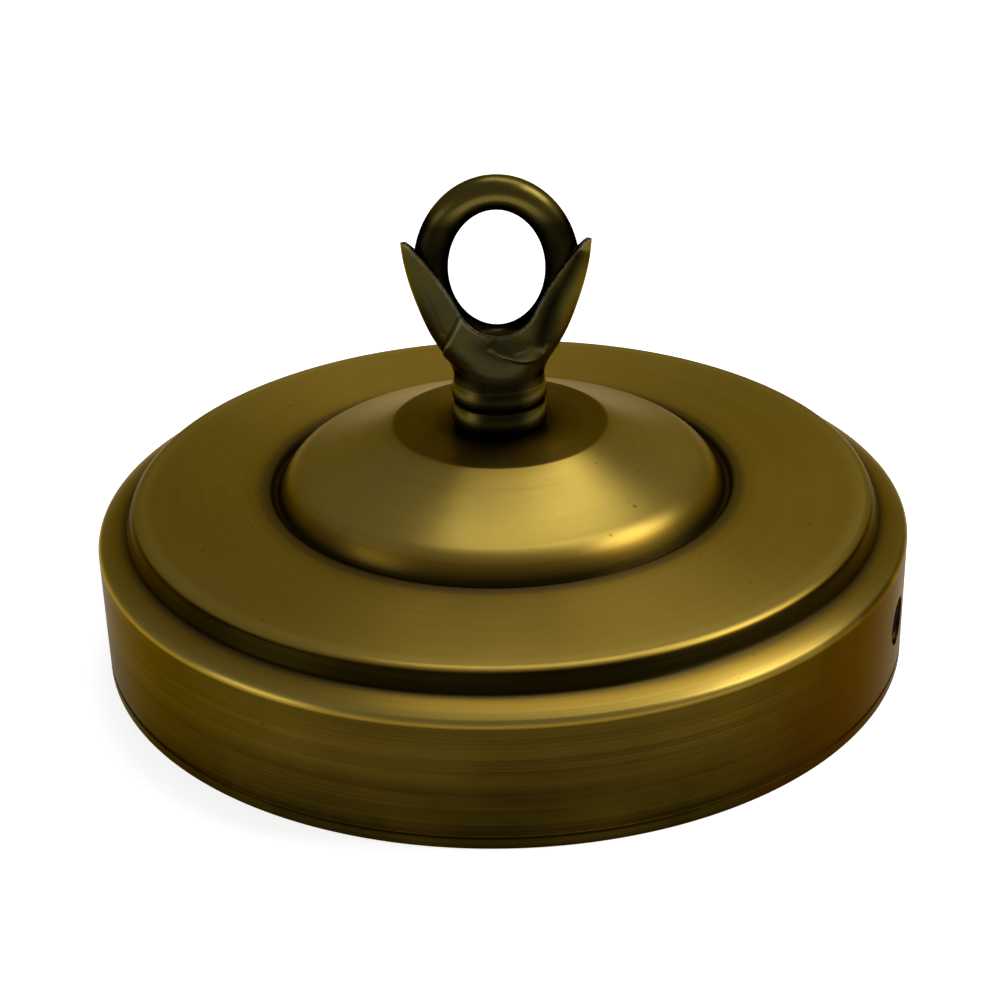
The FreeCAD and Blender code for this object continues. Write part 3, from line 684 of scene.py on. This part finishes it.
class CEILINGHOOK_OT_canopy(bpy.types.Operator):
    """Builds the pressed brass canopy"""

    bl_idname = "ceiling_hook.canopy"
    bl_label = "Canopy"

    def execute(self, context):
        sizes = context.scene.canopy_sizes
        wall = sizes.wall
        foot = sizes.radius - sizes.ledge_width
        lip = foot - sizes.plate_lean
        foot_height = sizes.ledge_height + sizes.ledge_rise
        lip_height = foot_height + sizes.plate_rise
        plate = lip_height + sizes.plate_crown
        half_groove = sizes.groove_width / 2
        half_floor = sizes.groove_width / 6
        floor = plate - sizes.groove_depth
        groove_out, groove_in = sizes.groove_radius + half_groove, sizes.groove_radius - half_floor
        toe_foot = sizes.groove_radius - half_groove
        toe = toe_foot - sizes.toe_lean
        toe_height = plate + sizes.toe_rise
        line = sizes.hem_line
        hem_top = sizes.hem_height + line
        rim_edge, edge, line_foot = 0.15 * MM, 0.1 * MM, 0.05 * MM
        groove_lip, groove_foot, toe_bend, seat_edge = 0.5 * MM, 0.2 * MM, 0.3 * MM, 0.6 * MM
        section = rounded_section([
            (sizes.radius, 0, rim_edge, 0),
            (sizes.radius, sizes.hem_height, edge, 0),
            (sizes.radius - line, hem_top, line_foot, 0),
            (sizes.radius, hem_top + line, edge, 0),
            (sizes.radius, sizes.ledge_height, sizes.shoulder, sizes.ledge_bow),
            (foot, foot_height, sizes.plate_foot, 0),
            (lip, lip_height, sizes.plate_lip, 0),
            (groove_out, plate, groove_lip, 0),
            (sizes.groove_radius + half_floor, floor, groove_foot, 0),
            (groove_in, floor, groove_foot, 0),
            (toe_foot, plate, toe_bend, 0),
            (toe, toe_height, sizes.toe_rounding, -sizes.flank_radius),
            (sizes.seat_radius, sizes.dome_height, seat_edge, 0),
            (sizes.centre_hole, sizes.dome_height, edge, 0),
            (sizes.centre_hole, sizes.dome_height - wall, 0, 0),
            (sizes.seat_radius, sizes.dome_height - wall, 0, sizes.flank_radius),
            (toe - wall, toe_height - wall / 2, sizes.toe_rounding - wall, 0),
            (toe_foot - wall, plate - wall, 0, 0),
            (groove_in, floor - wall, 0, 0),
            (sizes.groove_radius + half_floor, floor - wall, 0, 0),
            (groove_out, plate - wall, 0, 0),
            (lip - wall, lip_height - wall, sizes.plate_lip - wall, 0),
            (foot - wall, foot_height - wall, sizes.plate_foot + wall, -sizes.ledge_bow),
            (sizes.radius - wall, sizes.ledge_height - wall, sizes.bend, 0),
            (sizes.radius - wall, 0, edge, 0),
        ])
        canopy = new_object("canopy_sheet", spun(section, sizes.turns))
        past = 2 * sizes.radius
        hole_line = (sizes.hole_turn, sizes.hole_height)
        cut(canopy, cylinder("SideDrill", sizes.hole_radius, -past, past, hole_line))
        smooth(canopy, angle=35)
        # Faces that look down or towards the axis lie inside
        skin = Skin(canopy.data)
        reach = np.hypot(skin.places[:, 0], skin.places[:, 1]) + TINY
        out = (skin.normals[:, :2] * skin.places[:, :2]).sum(axis=1) / reach
        skin.store("inside", smoothstep(skin.normals[:, 2] + 0.5 * out, 0.02, -0.02))
        finish_piece(canopy, brushed_brass(sizes, context.scene.finish_colours), "brushed_brass", "canopy")
        return {"FINISHED"}


# Rows of the calyx's form, as shares from the neck to the leaf tips: height, half width, half depth
CALYX = (
    (0.00, 0.00, 0.00),
    (0.08, 0.09, 0.02),
    (0.20, 0.32, 0.25),
    (0.35, 0.545, 0.70),
    (0.60, 0.80, 0.90),
    (0.80, 0.935, 0.96),
    (1.00, 1.00, 1.00),
)

# Lines of the leaves' relief, front view in millimetres: corners, rise of the side on their left,
# fading length of that rise, depth of the groove along them and its half width
FOLD = ((10.9, 54.6), (10.35, 53.55), (8.45, 50.1), (6.75, 46.95), (5.6, 43.4), (5.4, 42.0))
RELIEF = (
    (((-7.5, 39.6), (-7.0, 42.05), (-5.85, 44.2), (-4.5, 47.2)), -0.20, 2.6, 0.08, 0.22),
    (((-1.6, 42.6), (-0.6, 41.85), (0.4, 41.3), (1.7, 40.85), (2.95, 40.45), (4.1, 40.3), (5.2, 40.4),
      (6.3, 41.4)), 0.15, 1.8, 0.03, 0.20),
    (((2.0, 41.5), (2.6, 41.75), (3.8, 41.95), (4.6, 42.6)), 0.08, 0.8, 0.02, 0.15),
    (FOLD, -0.08, 1.6, 0.20, 0.85),
    (((-10.9, 54.0), (-9.3, 49.6), (-7.9, 46.4), (-6.9, 43.6)), 0.03, 1.5, 0.03, 0.40),
)


def eased(column, value):
    """Level of a column of CALYX at a share of its height, on a smooth curve through the rows."""
    places = [row[0] for row in CALYX]
    levels = [row[column] for row in CALYX]
    for index in range(len(places) - 1):
        if value <= places[index + 1]:
            break
    before, after = max(index - 1, 0), min(index + 2, len(places) - 1)
    width = places[index + 1] - places[index]
    share = (value - places[index]) / width
    slope_in = (levels[index + 1] - levels[before]) / (places[index + 1] - places[before]) * width
    slope_out = (levels[after] - levels[index]) / (places[after] - places[index]) * width
    cube, square = share ** 3, share ** 2
    return ((2 * cube - 3 * square + 1) * levels[index] + (cube - 2 * square + share) * slope_in
            + (3 * square - 2 * cube) * levels[index + 1] + (cube - square) * slope_out)


def stacked(name, rings, segments=160):
    """A closed solid through level ovals given as (half width, half depth, height)."""
    bm = bmesh.new()
    width, depth, height = rings[0]
    loop = bmesh.ops.create_circle(bm, segments=segments, radius=1.0, cap_ends=True)["verts"]
    bmesh.ops.scale(bm, verts=loop, vec=(width, depth, 1))
    bmesh.ops.translate(bm, verts=loop, vec=(0, 0, height))
    edges = list(bm.edges)
    for below, ring in zip(rings, rings[1:]):
        grown = bmesh.ops.extrude_edge_only(bm, edges=edges)["geom"]
        loop = of_kind(grown, bmesh.types.BMVert)
        edges = of_kind(grown, bmesh.types.BMEdge)
        bmesh.ops.scale(bm, verts=loop, vec=(ring[0] / below[0], ring[1] / below[1], 1))
        bmesh.ops.translate(bm, verts=loop, vec=(0, 0, ring[2] - below[2]))
    bmesh.ops.contextual_create(bm, geom=edges)
    bmesh.ops.recalc_face_normals(bm, faces=bm.faces)
    return new_object(name, bm)


class CEILINGHOOK_OT_ring(bpy.types.Operator):
    """Builds the cast ring with its leaf calyx and collar"""

    bl_idname = "ceiling_hook.ring"
    bl_label = "Ring"

    def execute(self, context):
        sizes = context.scene.hook_sizes
        seat = HOOK_BOX[0].z
        neck_top = seat + sizes.collar_height + sizes.bead_height + sizes.neck_height
        valley = neck_top + sizes.valley_height
        ring_middle = valley - sizes.ring_sink + sizes.ring_height
        forms = (self.collar(sizes, seat, neck_top), self.calyx(sizes, neck_top, valley),
                 self.ring(sizes, ring_middle))
        bm = bmesh.new()
        for form in forms:
            bm.from_mesh(form.data)
        discard(*forms)
        hook = new_object("cast_ring", bm)
        # One even grid joins the three forms, and a light smoothing melts their seams
        grid = hook.modifiers.new("Grid", "REMESH")
        grid.mode = "VOXEL"
        grid.voxel_size = sizes.grid
        soften = hook.modifiers.new("Soften", "SMOOTH")
        soften.factor = 0.5
        soften.iterations = 5
        settle(hook)
        self.relief(Skin(hook.data), sizes, neck_top)
        self.patina(Skin(hook.data), sizes, neck_top, ring_middle)
        hook.data.shade_smooth()
        finish_piece(hook, cast_brass(context.scene.finish_colours), "cast_brass", "ring_hook")
        return {"FINISHED"}

    def collar(self, sizes, seat, neck_top):
        """Two round beads with a nick between them, under the neck and round the threaded hole."""
        nick = sizes.collar_radius - sizes.bead_nick
        nick_height = seat + sizes.collar_height
        thread_top = seat + sizes.thread_depth
        inset = 1.0 * MM
        bead_steps = 12

        def bow(chord, bulge):
            """Radius of an arc that stands out over its chord by the bulge."""
            return chord * chord / (bulge * 8) + bulge / 2

        low = Vector((nick, seat))
        middle = Vector((nick, nick_height))
        high = Vector((sizes.neck_radius, nick_height + sizes.bead_height))
        lower = arc_points(low, middle, bow(sizes.collar_height, sizes.bead_nick), bead_steps)
        bulge = sizes.bead_radius - (nick + sizes.neck_radius) / 2
        upper = arc_points(middle, high, bow((high - middle).length, bulge), bead_steps)
        return new_object("Collar", spun([
            (sizes.thread_radius, seat), low, *lower, middle, *upper, high,
            (sizes.neck_radius, neck_top), (sizes.neck_radius - inset, neck_top + inset),
            (0, neck_top + inset), (0, thread_top), (sizes.thread_radius, thread_top),
        ], steps=160))

    def calyx(self, sizes, neck_top, valley):
        """Two leaves: an oval cup with a tilted wedge cut out of its front and back."""
        steps, hollow_start, foot_steps, side_steps = 40, 8, 24, 16
        past, half_depth = 1 * MM, 30 * MM

        def rings(first, thinner):
            rows = []
            for step in range(first, steps + 1):
                share = step / steps
                rows.append((
                    sizes.neck_radius + (sizes.calyx_width - sizes.neck_radius) * eased(1, share) - thinner,
                    sizes.neck_radius + (sizes.calyx_depth - sizes.neck_radius) * eased(2, share) - thinner,
                    neck_top + sizes.calyx_height * share,
                ))
            return rows

        calyx = stacked("Calyx", rings(0, 0))
        inside = rings(hollow_start, sizes.leaf_wall)
        width, depth, top = inside[-1]
        hollow = stacked("CalyxHollow", [*inside, (width, depth, top + past)])

        rise = sizes.valley_radius - math.sqrt(sizes.valley_radius ** 2 - sizes.valley_width ** 2)
        left = Vector((-sizes.valley_width, rise))
        right = Vector((sizes.valley_width, rise))
        tip = Vector((sizes.calyx_width - sizes.tip_width, sizes.tip_rise))
        outer = sizes.calyx_width + 2 * sizes.leaf_wall
        sky = sizes.tip_rise + sizes.calyx_height
        foot = arc_points(left, right, sizes.valley_radius, foot_steps)
        right_side = arc_points(right, tip, -sizes.valley_side, side_steps)
        left_side = [Vector((-point.x, point.y)) for point in reversed(right_side)]
        corners = [Vector(corner) for corner in ((outer, sizes.tip_rise), (outer, sky), (-outer, sky),
                                                 (-outer, sizes.tip_rise), (-tip.x, tip.y))]
        bm = extruded([left, *foot, right, *right_side, tip, *corners, *left_side], half_depth)
        turn_mesh(bm, -sizes.valley_tilt, "X")
        shift_mesh(bm, 0, 0, valley)
        cut(calyx, hollow, new_object("Valley", bm))
        return calyx

    def ring(self, sizes, middle):
        """A round bar that stands upright along an oval."""
        bm = bmesh.new()
        section = bmesh.ops.create_circle(bm, segments=40, radius=sizes.bar)["verts"]
        turn_mesh(bm, math.pi / 2, "X")
        shift_mesh(bm, sizes.ring_width, 0, 0)
        bmesh.ops.spin(bm, geom=section + list(bm.edges), cent=(0, 0, 0), axis=(0, 0, 1),
                       angle=2 * math.pi, steps=200, use_merge=True)
        for vert in bm.verts:
            across, up, along = vert.co
            angle = math.atan2(up, across)
            out = math.hypot(across, up) - sizes.ring_width
            cosine, sine = math.cos(angle), math.sin(angle)
            centre = Vector((sizes.ring_width * cosine, 0, sizes.ring_height * sine))
            normal = Vector((sizes.ring_height * cosine, 0, sizes.ring_width * sine)).normalized()
            vert.co = centre + normal * out + Vector((0, along, middle))
        bmesh.ops.recalc_face_normals(bm, faces=bm.faces)
        return new_object("RingBar", bm)

    @staticmethod
    def ovals(skin, sizes, neck_top):
        """Where each vertex lies in its oval of the calyx (1 on the oval), and how far it faces out."""
        across, along, up = skin.places.T
        steps = np.linspace(0, 1, 81)
        shares = np.clip((up - neck_top) / sizes.calyx_height, 0, 1)
        wide, deep = (np.interp(shares, steps, [eased(column, step) for step in steps])
                      for column in (1, 2))
        width = sizes.neck_radius + (sizes.calyx_width - sizes.neck_radius) * wide
        depth = sizes.neck_radius + (sizes.calyx_depth - sizes.neck_radius) * deep
        outward = np.stack((across / width ** 2, along / depth ** 2), axis=1)
        outward /= np.linalg.norm(outward, axis=1)[:, None] + TINY
        return np.hypot(across / width, along / depth), (skin.normals[:, :2] * outward).sum(axis=1)

    def relief(self, skin, sizes, neck_top):
        """Raises the petal edges and veins of the leaves, front and back."""
        reach, outward = self.ovals(skin, sizes, neck_top)
        heights = skin.places[:, 2]
        on_leaf = smoothstep(reach, 0.86, 0.95) * smoothstep(outward, 0.1, 0.4)
        on_leaf *= smoothstep(heights, neck_top + 0.4 * MM, neck_top + 1.6 * MM)
        facing = np.where(skin.places[:, 1] < 0, 1.0, -1.0)
        across = skin.places[:, 0] * facing
        front = smoothstep(np.abs(skin.places[:, 1]), 0.3 * MM, 1.2 * MM)
        rise = np.zeros(len(across))
        for line, step, fade, groove, width in RELIEF:
            gap, side, level = along_line(across, heights, line)
            over = smoothstep(gap * side * math.copysign(1, step), -0.12 * MM, 0.22 * MM)
            edge = abs(step) * MM * over * np.exp(-gap / (fade * MM))
            rise += level * (edge - groove * MM * np.exp(-(gap / (width * MM)) ** 2))
        skin.move(rise * on_leaf * front)

    def patina(self, skin, sizes, neck_top, ring_middle):
        """Stores how far each vertex is rubbed bright, and how far it is darkened by patina and by painted
        shade.
        """
        outward = self.ovals(skin, sizes, neck_top)[1]
        across, along, up = skin.places.T

        # Edges stand out of the average of their neighbours, and hollows lie below it
        fine, broad = skin.bulge(rounds=6), skin.bulge(rounds=30)
        wear = np.maximum(smoothstep(fine, 0.012 * MM, 0.045 * MM),
                          0.6 * smoothstep(broad, 0.09 * MM, 0.20 * MM))
        hollow = np.maximum(smoothstep(-fine, 0.006 * MM, 0.03 * MM),
                            smoothstep(-broad, 0.03 * MM, 0.14 * MM))

        # The ring gets painted shade round its hole, where its faces turn inwards, and down its legs, above
        # its foot in the valley
        ring_foot = 43 * MM
        angle = np.arctan2((up - ring_middle) / sizes.ring_height, across / sizes.ring_width)
        cosine, sine = np.cos(angle), np.sin(angle)
        out = np.stack((sizes.ring_height * cosine, sizes.ring_width * sine), axis=1)
        out /= np.linalg.norm(out, axis=1)[:, None]
        gap = np.sqrt((across - sizes.ring_width * cosine) ** 2 + along ** 2
                      + (up - ring_middle - sizes.ring_height * sine) ** 2)
        on_ring = smoothstep(gap, sizes.bar + 0.45 * MM, sizes.bar + 0.2 * MM)
        on_ring *= smoothstep(up, ring_foot, ring_foot + 1 * MM)
        inward = -(skin.normals[:, 0] * out[:, 0] + skin.normals[:, 2] * out[:, 1])
        legs = smoothstep(up, ring_middle + 9.2 * MM, ring_middle + 6.0 * MM)
        ring_painted_shade = np.maximum(0.97 * legs, smoothstep(inward, 0.15, 0.6))
        wear *= 1 - on_ring * np.maximum(legs, smoothstep(inward, 0.0, 0.5))

        # Painted shade on the leaves along their fold and inside the calyx; on the collar and neck, a light
        # painted shade all round, painted shade under the beads and a painted dark reflection down the front
        # and back middle
        facing = np.where(along < 0, 1.0, -1.0)
        fold, _, level = along_line(across * facing, up, FOLD)
        leaf_painted_shade = 0.95 * level * np.exp(-(fold / (1.6 * MM)) ** 2) * smoothstep(outward, 0.0, 0.3)
        inner = smoothstep(outward, 0.1, -0.3) * smoothstep(up, neck_top + 3 * MM, neck_top + 4 * MM)
        leaf_painted_shade = np.maximum(leaf_painted_shade, 0.95 * inner)
        neck = smoothstep(up, neck_top + 1.7 * MM, neck_top - 0.2 * MM)
        below = smoothstep(-skin.normals[:, 2], 0.05, 0.35)
        middle = smoothstep(np.abs(across), 4.6 * MM, 2.2 * MM)
        collar_painted_shade = neck * np.maximum(0.20 + 0.68 * middle, 0.95 * below)
        soot = np.where(on_ring > 0.5, ring_painted_shade, np.maximum(leaf_painted_shade, collar_painted_shade))
        # Hollows darken too, as patina and as painted shade
        soot = np.maximum(soot, 0.9 * hollow)
        skin.store("wear", skin.averaged(wear, rounds=2)[:, 0])
        skin.store("soot", skin.averaged(soot, rounds=3)[:, 0])


class CEILINGHOOK_OT_fittings(bpy.types.Operator):
    """Builds the nipple, the washers and the nut that hold the ring"""

    bl_idname = "ceiling_hook.fittings"
    bl_label = "Fittings"

    def execute(self, context):
        sizes = context.scene.fitting_sizes
        steel = plated_steel(context.scene.finish_colours)
        self.nipple(sizes, steel)
        self.nut(sizes, steel)
        self.washer(sizes, steel)
        self.lock_washer(sizes, steel)
        return {"FINISHED"}

    def nipple(self, sizes, steel):
        low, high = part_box("threaded_nipple")
        radius = high.x
        foot, top = low.z + sizes.bevel, high.z - sizes.bevel
        inside, edge = radius - sizes.nipple_wall, radius - sizes.bevel
        bm = spun([(inside, low.z), (edge, low.z), *thread_side(radius, foot, top - foot, sizes.pitch),
                   (edge, high.z), (inside, high.z)], steps=96)
        threaded(bm, radius, foot, sizes.pitch, sizes.thread_cut)
        tube = new_object("nipple_tube", bm)
        finish_piece(smooth(tube, angle=40), steel, "plated_steel", "threaded_nipple")

    def nut(self, sizes, steel):
        low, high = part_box("hex_nut")
        past, thread_gap = 1 * MM, 0.3 * MM
        nut = cylinder("nut_hex", high.x, low.z, high.z, segments=6)
        nut.data.transform(Matrix.Rotation(math.pi / 2, 4, "Z"))
        # A cone rounds off the nut's lower corners
        wide, slope = high.x * 1.05, 1.7
        under, over = low.z - past, high.z + past
        cone = spun([(0, under), (high.y, under), (high.y, low.z), (wide, low.z + (wide - high.y) / slope),
                     (wide, over), (0, over)], steps=96)
        cut(nut, new_object("NutCone", cone), operation="INTERSECT")
        cut(nut, cylinder("NutBore", sizes.passing - thread_gap, under, over))
        rounded_edges(nut, width=0.1 * MM, angle=20)
        finish_piece(smooth(nut, angle=30), steel, "plated_steel", "hex_nut")

    def washer(self, sizes, steel):
        low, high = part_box("flat_washer")
        edge = 0.2 * MM
        section = rounded_section([(sizes.passing, low.z, edge, 0), (high.x, low.z, edge, 0),
                                   (high.x, high.z, edge, 0), (sizes.passing, high.z, edge, 0)])
        washer = new_object("washer_flat", spun(section, steps=128))
        finish_piece(smooth(washer, angle=40), steel, "plated_steel", "flat_washer")

    def lock_washer(self, sizes, steel):
        """A ring of sheet whose twisted teeth stand round its outer edge."""
        low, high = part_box("lock_washer")
        root = high.x + 0.02 * MM - sizes.tooth
        middle = (low.z + high.z) / 2
        half_span = math.pi / sizes.teeth
        twist = (high.z - low.z - sizes.blade) / 2
        rows, tooth_row, tooth_share = 8, 4, 0.70
        bm = bmesh.new()
        bmesh.ops.create_grid(bm, x_segments=rows, y_segments=rows, size=1.0)
        for vert in bm.verts:
            row = round((vert.co.y + 1) * rows / 2)
            if row < tooth_row:
                reach = sizes.passing + (root - sizes.passing) * row / (tooth_row - 1)
                share, lean = 1.0, 0.0
            else:
                lean = (row - tooth_row) / (rows - tooth_row)
                reach, share = root + sizes.tooth * (0.01 + 0.99 * lean), tooth_share
            side = vert.co.x
            angle = side * half_span * share
            vert.co = (reach * math.cos(angle), reach * math.sin(angle), middle + side * twist * lean)
        copies = sizes.teeth - 1
        bmesh.ops.spin(bm, geom=[*bm.verts, *bm.edges, *bm.faces], cent=(0, 0, 0), axis=(0, 0, 1),
                       angle=2 * math.pi * copies / sizes.teeth, steps=copies, use_duplicate=True)
        bmesh.ops.remove_doubles(bm, verts=bm.verts, dist=0.01 * MM)
        bmesh.ops.recalc_face_normals(bm, faces=bm.faces)
        washer = new_object("washer_toothed", bm)
        shell = washer.modifiers.new("Sheet", "SOLIDIFY")
        shell.thickness = sizes.blade
        shell.offset = 0
        settle(washer)
        finish_piece(smooth(washer, angle=35), steel, "plated_steel", "lock_washer")


class CEILINGHOOK_OT_strap(bpy.types.Operator):
    """Builds the ceiling strap and its two set screws"""

    bl_idname = "ceiling_hook.strap"
    bl_label = "Strap"

    def execute(self, context):
        sizes = context.scene.fitting_sizes
        canopy = context.scene.canopy_sizes
        turn = Matrix.Rotation(canopy.hole_turn, 4, "Z")
        colours = context.scene.finish_colours
        strap = self.bar(sizes, canopy)
        strap.data.transform(turn)
        finish_piece(smooth(strap, angle=30), plated_steel(colours), "plated_steel", "ceiling_strap")
        screws = self.screws(sizes, canopy)
        screws.data.transform(turn)
        finish_piece(smooth(screws, angle=40), black_steel(colours), "blackened_steel", "set_screws")
        return {"FINISHED"}

    def bar(self, sizes, canopy):
        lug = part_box("ceiling_strap")[1].z
        reach = canopy.radius - canopy.wall - sizes.strap_fit
        end = math.sqrt(reach ** 2 - sizes.strap_width ** 2 / 4)
        sheet = sizes.strap_sheet
        inner = end - sheet
        outer_bend, inner_bend, lug_edge = sizes.strap_bend, sizes.strap_bend - sheet, 0.3 * MM
        outline = rounded_section([
            (-end, 0, outer_bend, 0), (end, 0, outer_bend, 0), (end, lug, lug_edge, 0),
            (inner, lug, lug_edge, 0), (inner, sheet, inner_bend, 0), (-inner, sheet, inner_bend, 0),
            (-inner, lug, lug_edge, 0), (-end, lug, lug_edge, 0),
        ])
        strap = new_object("strap_bar", extruded(outline, sizes.strap_width / 2))
        under, over, slot_sides = -1 * MM, 3 * MM, 50
        cutters = [cylinder("CableHole", sizes.cable_hole, under, over),
                   cylinder("Tapped", sizes.screw_radius, -2 * reach, 2 * reach, (0, canopy.hole_height))]
        half = sizes.slot_length / 2 - sizes.slot_radius
        for side in (-1, 1):
            slot = cylinder("Slot", sizes.slot_radius, under, over, segments=slot_sides)
            slot.data.transform(Matrix.Rotation(math.pi / slot_sides, 4, "Z"))
            for vert in slot.data.vertices:
                vert.co.x += math.copysign(half, vert.co.x) + side * sizes.slot_spacing / 2
            cutters.append(slot)
        cut(strap, *cutters)
        return rounded_edges(strap, width=0.18 * MM)

    def screws(self, sizes, canopy):
        outer = canopy.radius - sizes.screw_recess
        inner = outer - sizes.screw_length
        bevel, thread_cut = 0.45 * MM, 0.4 * MM
        cup_depth, cup_radius, point_radius = 0.8 * MM, 0.9 * MM, 1.5 * MM
        radius, pitch = sizes.screw_radius, sizes.screw_pitch
        side = thread_side(radius, inner + bevel, sizes.screw_length - 2 * bevel, pitch)
        bm = spun([(0, inner + cup_depth), (cup_radius, inner), (point_radius, inner), *side,
                   (radius - bevel, outer), (0, outer)], steps=64)
        threaded(bm, radius, inner, pitch, thread_cut)
        turn_mesh(bm, math.pi / 2, "Y")
        shift_mesh(bm, 0, 0, canopy.hole_height)
        screw = new_object("screw_pair", bm)
        bm = bmesh.new()
        bmesh.ops.create_cube(bm, size=1.0)
        slot_size = (2 * sizes.driver_depth, 2 * sizes.driver_slot, 3 * radius)
        bmesh.ops.scale(bm, verts=bm.verts, vec=slot_size)
        shift_mesh(bm, outer, 0, canopy.hole_height)
        cut(screw, new_object("DriverSlot", bm))
        # The second screw is the first one turned half round the upright axis
        bm = bmesh.new()
        bm.from_mesh(screw.data)
        bmesh.ops.duplicate(bm, geom=[*bm.verts, *bm.edges, *bm.faces])
        other = bm.verts[len(screw.data.vertices):]
        bmesh.ops.rotate(bm, verts=other, cent=(0, 0, 0), matrix=Matrix.Rotation(math.pi, 3, "Z"))
        bm.to_mesh(screw.data)
        bm.free()
        return screw


class CEILINGHOOK_OT_stage(bpy.types.Operator):
    """Builds the floor, the lamps and the camera"""

    bl_idname = "ceiling_hook.stage"
    bl_label = "Stage"

    def execute(self, context):
        scene = context.scene
        scene.view_settings.view_transform = "Standard"
        self.floor(scene)
        self.world(scene)
        self.lamps(scene)
        self.camera(scene)
        return {"FINISHED"}

    def floor(self, scene):
        half_size, gap, glow_strength = 4.0, 0.05 * MM, 0.72
        bm = bmesh.new()
        bmesh.ops.create_grid(bm, x_segments=1, y_segments=1, size=half_size)
        shift_mesh(bm, 0, 0, -gap)
        floor = new_object("Floor", bm)
        nodes = Nodes("pale_floor")
        diffuse = nodes.add("ShaderNodeBsdfDiffuse", (*scene.finish_colours.floor, 1))
        # The glow shows to the camera, in reflections and through clear things, and lights no matt surface
        path = nodes.add("ShaderNodeLightPath").outputs
        indirect = nodes.larger(path["Is Glossy Ray"], path["Is Transmission Ray"])
        glow = nodes.add("ShaderNodeEmission")
        strength = nodes.times(nodes.larger(path["Is Camera Ray"], indirect), glow_strength)
        nodes.link(strength, glow.inputs["Strength"])
        both = nodes.add("ShaderNodeAddShader", diffuse.outputs[0], glow.outputs[0])
        # Seen from beneath, the floor is clear and shows the open underside
        clear = nodes.add("ShaderNodeBsdfTransparent")
        behind = nodes.add("ShaderNodeNewGeometry").outputs["Backfacing"]
        one_sided = nodes.add("ShaderNodeMixShader", behind, both.outputs[0], clear.outputs[0])
        nodes.link(one_sided.outputs[0], nodes.output.inputs["Surface"])
        floor.data.materials.append(nodes.material)

    def world(self, scene):
        world = bpy.data.worlds.new("Studio")
        world.use_nodes = True
        background = world.node_tree.nodes["Background"]
        white, strength = (1, 1, 1, 1), 0.26
        background.inputs["Color"].default_value = white
        background.inputs["Strength"].default_value = strength
        scene.world = world

    def lamps(self, scene):
        target = Vector((0, 0, 20 * MM))

        def lamp(name, place, size, power):
            data = bpy.data.lights.new(name, "AREA")
            data.shape = "RECTANGLE"
            data.size, data.size_y = size
            data.energy = power
            light = bpy.data.objects.new(name, data)
            scene.collection.objects.link(light)
            light.location = place
            light.rotation_mode = "QUATERNION"
            light.rotation_quaternion = (target - Vector(place)).to_track_quat("-Z", "Y")

        lamp("KeySoftbox", (0.54, 0.03, 0.62), (0.44, 0.36), 3.3)
        lamp("TopSoftbox", (0.09, 0.25, 0.74), (0.50, 0.30), 1.5)
        lamp("LeftSoftbox", (-0.75, -0.35, 0.16), (0.40, 0.30), 1.2)
        lamp("RightSoftbox", (0.80, -0.10, 0.25), (0.40, 0.30), 0.2)
        lamp("BackSoftbox", (0.10, 0.75, 0.40), (0.50, 0.30), 0.12)

    def camera(self, scene):
        data = bpy.data.cameras.new("Camera")
        camera = bpy.data.objects.new("Camera", data)
        scene.collection.objects.link(camera)
        scene.camera = camera
        distance = 0.300
        elevation = math.radians(29.93)
        pitch = math.radians(-3.09)
        pan = math.radians(0.13)
        roll = math.radians(-1.30)
        focal_pixels, picture_pixels = 2158.2, 1000
        data.sensor_width = 36.0
        data.lens = focal_pixels / picture_pixels * data.sensor_width
        data.clip_start = 0.01
        data.clip_end = 20
        camera.location = (0, -distance * math.cos(elevation), distance * math.sin(elevation))
        data.shift_x = -0.0065
        data.shift_y = 0.001
        down = elevation + pitch
        ahead = Vector((math.sin(pan) * math.cos(down), math.cos(pan) * math.cos(down), -math.sin(down)))
        right = Vector((math.cos(pan), -math.sin(pan), 0))
        up = right.cross(ahead)
        turned = Matrix((right, up, -ahead)).transposed() @ Matrix.Rotation(roll, 3, "Z")
        camera.rotation_mode = "QUATERNION"
        camera.rotation_quaternion = turned.to_quaternion()


class CEILINGHOOK_PT_panel(bpy.types.Panel):
    """Buttons for the ceiling hook's pieces"""

    bl_idname = "CEILINGHOOK_PT_panel"
    bl_label = "Ceiling hook"
    bl_space_type = "VIEW_3D"
    bl_region_type = "UI"
    bl_category = "Ceiling hook"

    def draw(self, context):
        for operator in OPERATORS:
            self.layout.operator(operator.bl_idname)


OPERATORS = (
    CEILINGHOOK_OT_canopy,
    CEILINGHOOK_OT_ring,
    CEILINGHOOK_OT_fittings,
    CEILINGHOOK_OT_strap,
    CEILINGHOOK_OT_stage,
)
CLASSES = (CanopySizes, HookSizes, FittingSizes, FinishColours, *OPERATORS, CEILINGHOOK_PT_panel)


def register():
    for item in CLASSES:
        bpy.utils.register_class(item)
    bpy.types.Scene.canopy_sizes = PointerProperty(type=CanopySizes)
    bpy.types.Scene.hook_sizes = PointerProperty(type=HookSizes)
    bpy.types.Scene.fitting_sizes = PointerProperty(type=FittingSizes)
    bpy.types.Scene.finish_colours = PointerProperty(type=FinishColours)


def unregister():
    del bpy.types.Scene.finish_colours
    del bpy.types.Scene.fitting_sizes
    del bpy.types.Scene.hook_sizes
    del bpy.types.Scene.canopy_sizes
    for item in reversed(CLASSES):
        bpy.utils.unregister_class(item)


def main():
    register()
    bpy.ops.ceiling_hook.canopy()
    bpy.ops.ceiling_hook.ring()
    bpy.ops.ceiling_hook.fittings()
    bpy.ops.ceiling_hook.strap()
    bpy.ops.ceiling_hook.stage()


if __name__ == "__main__":
    main()
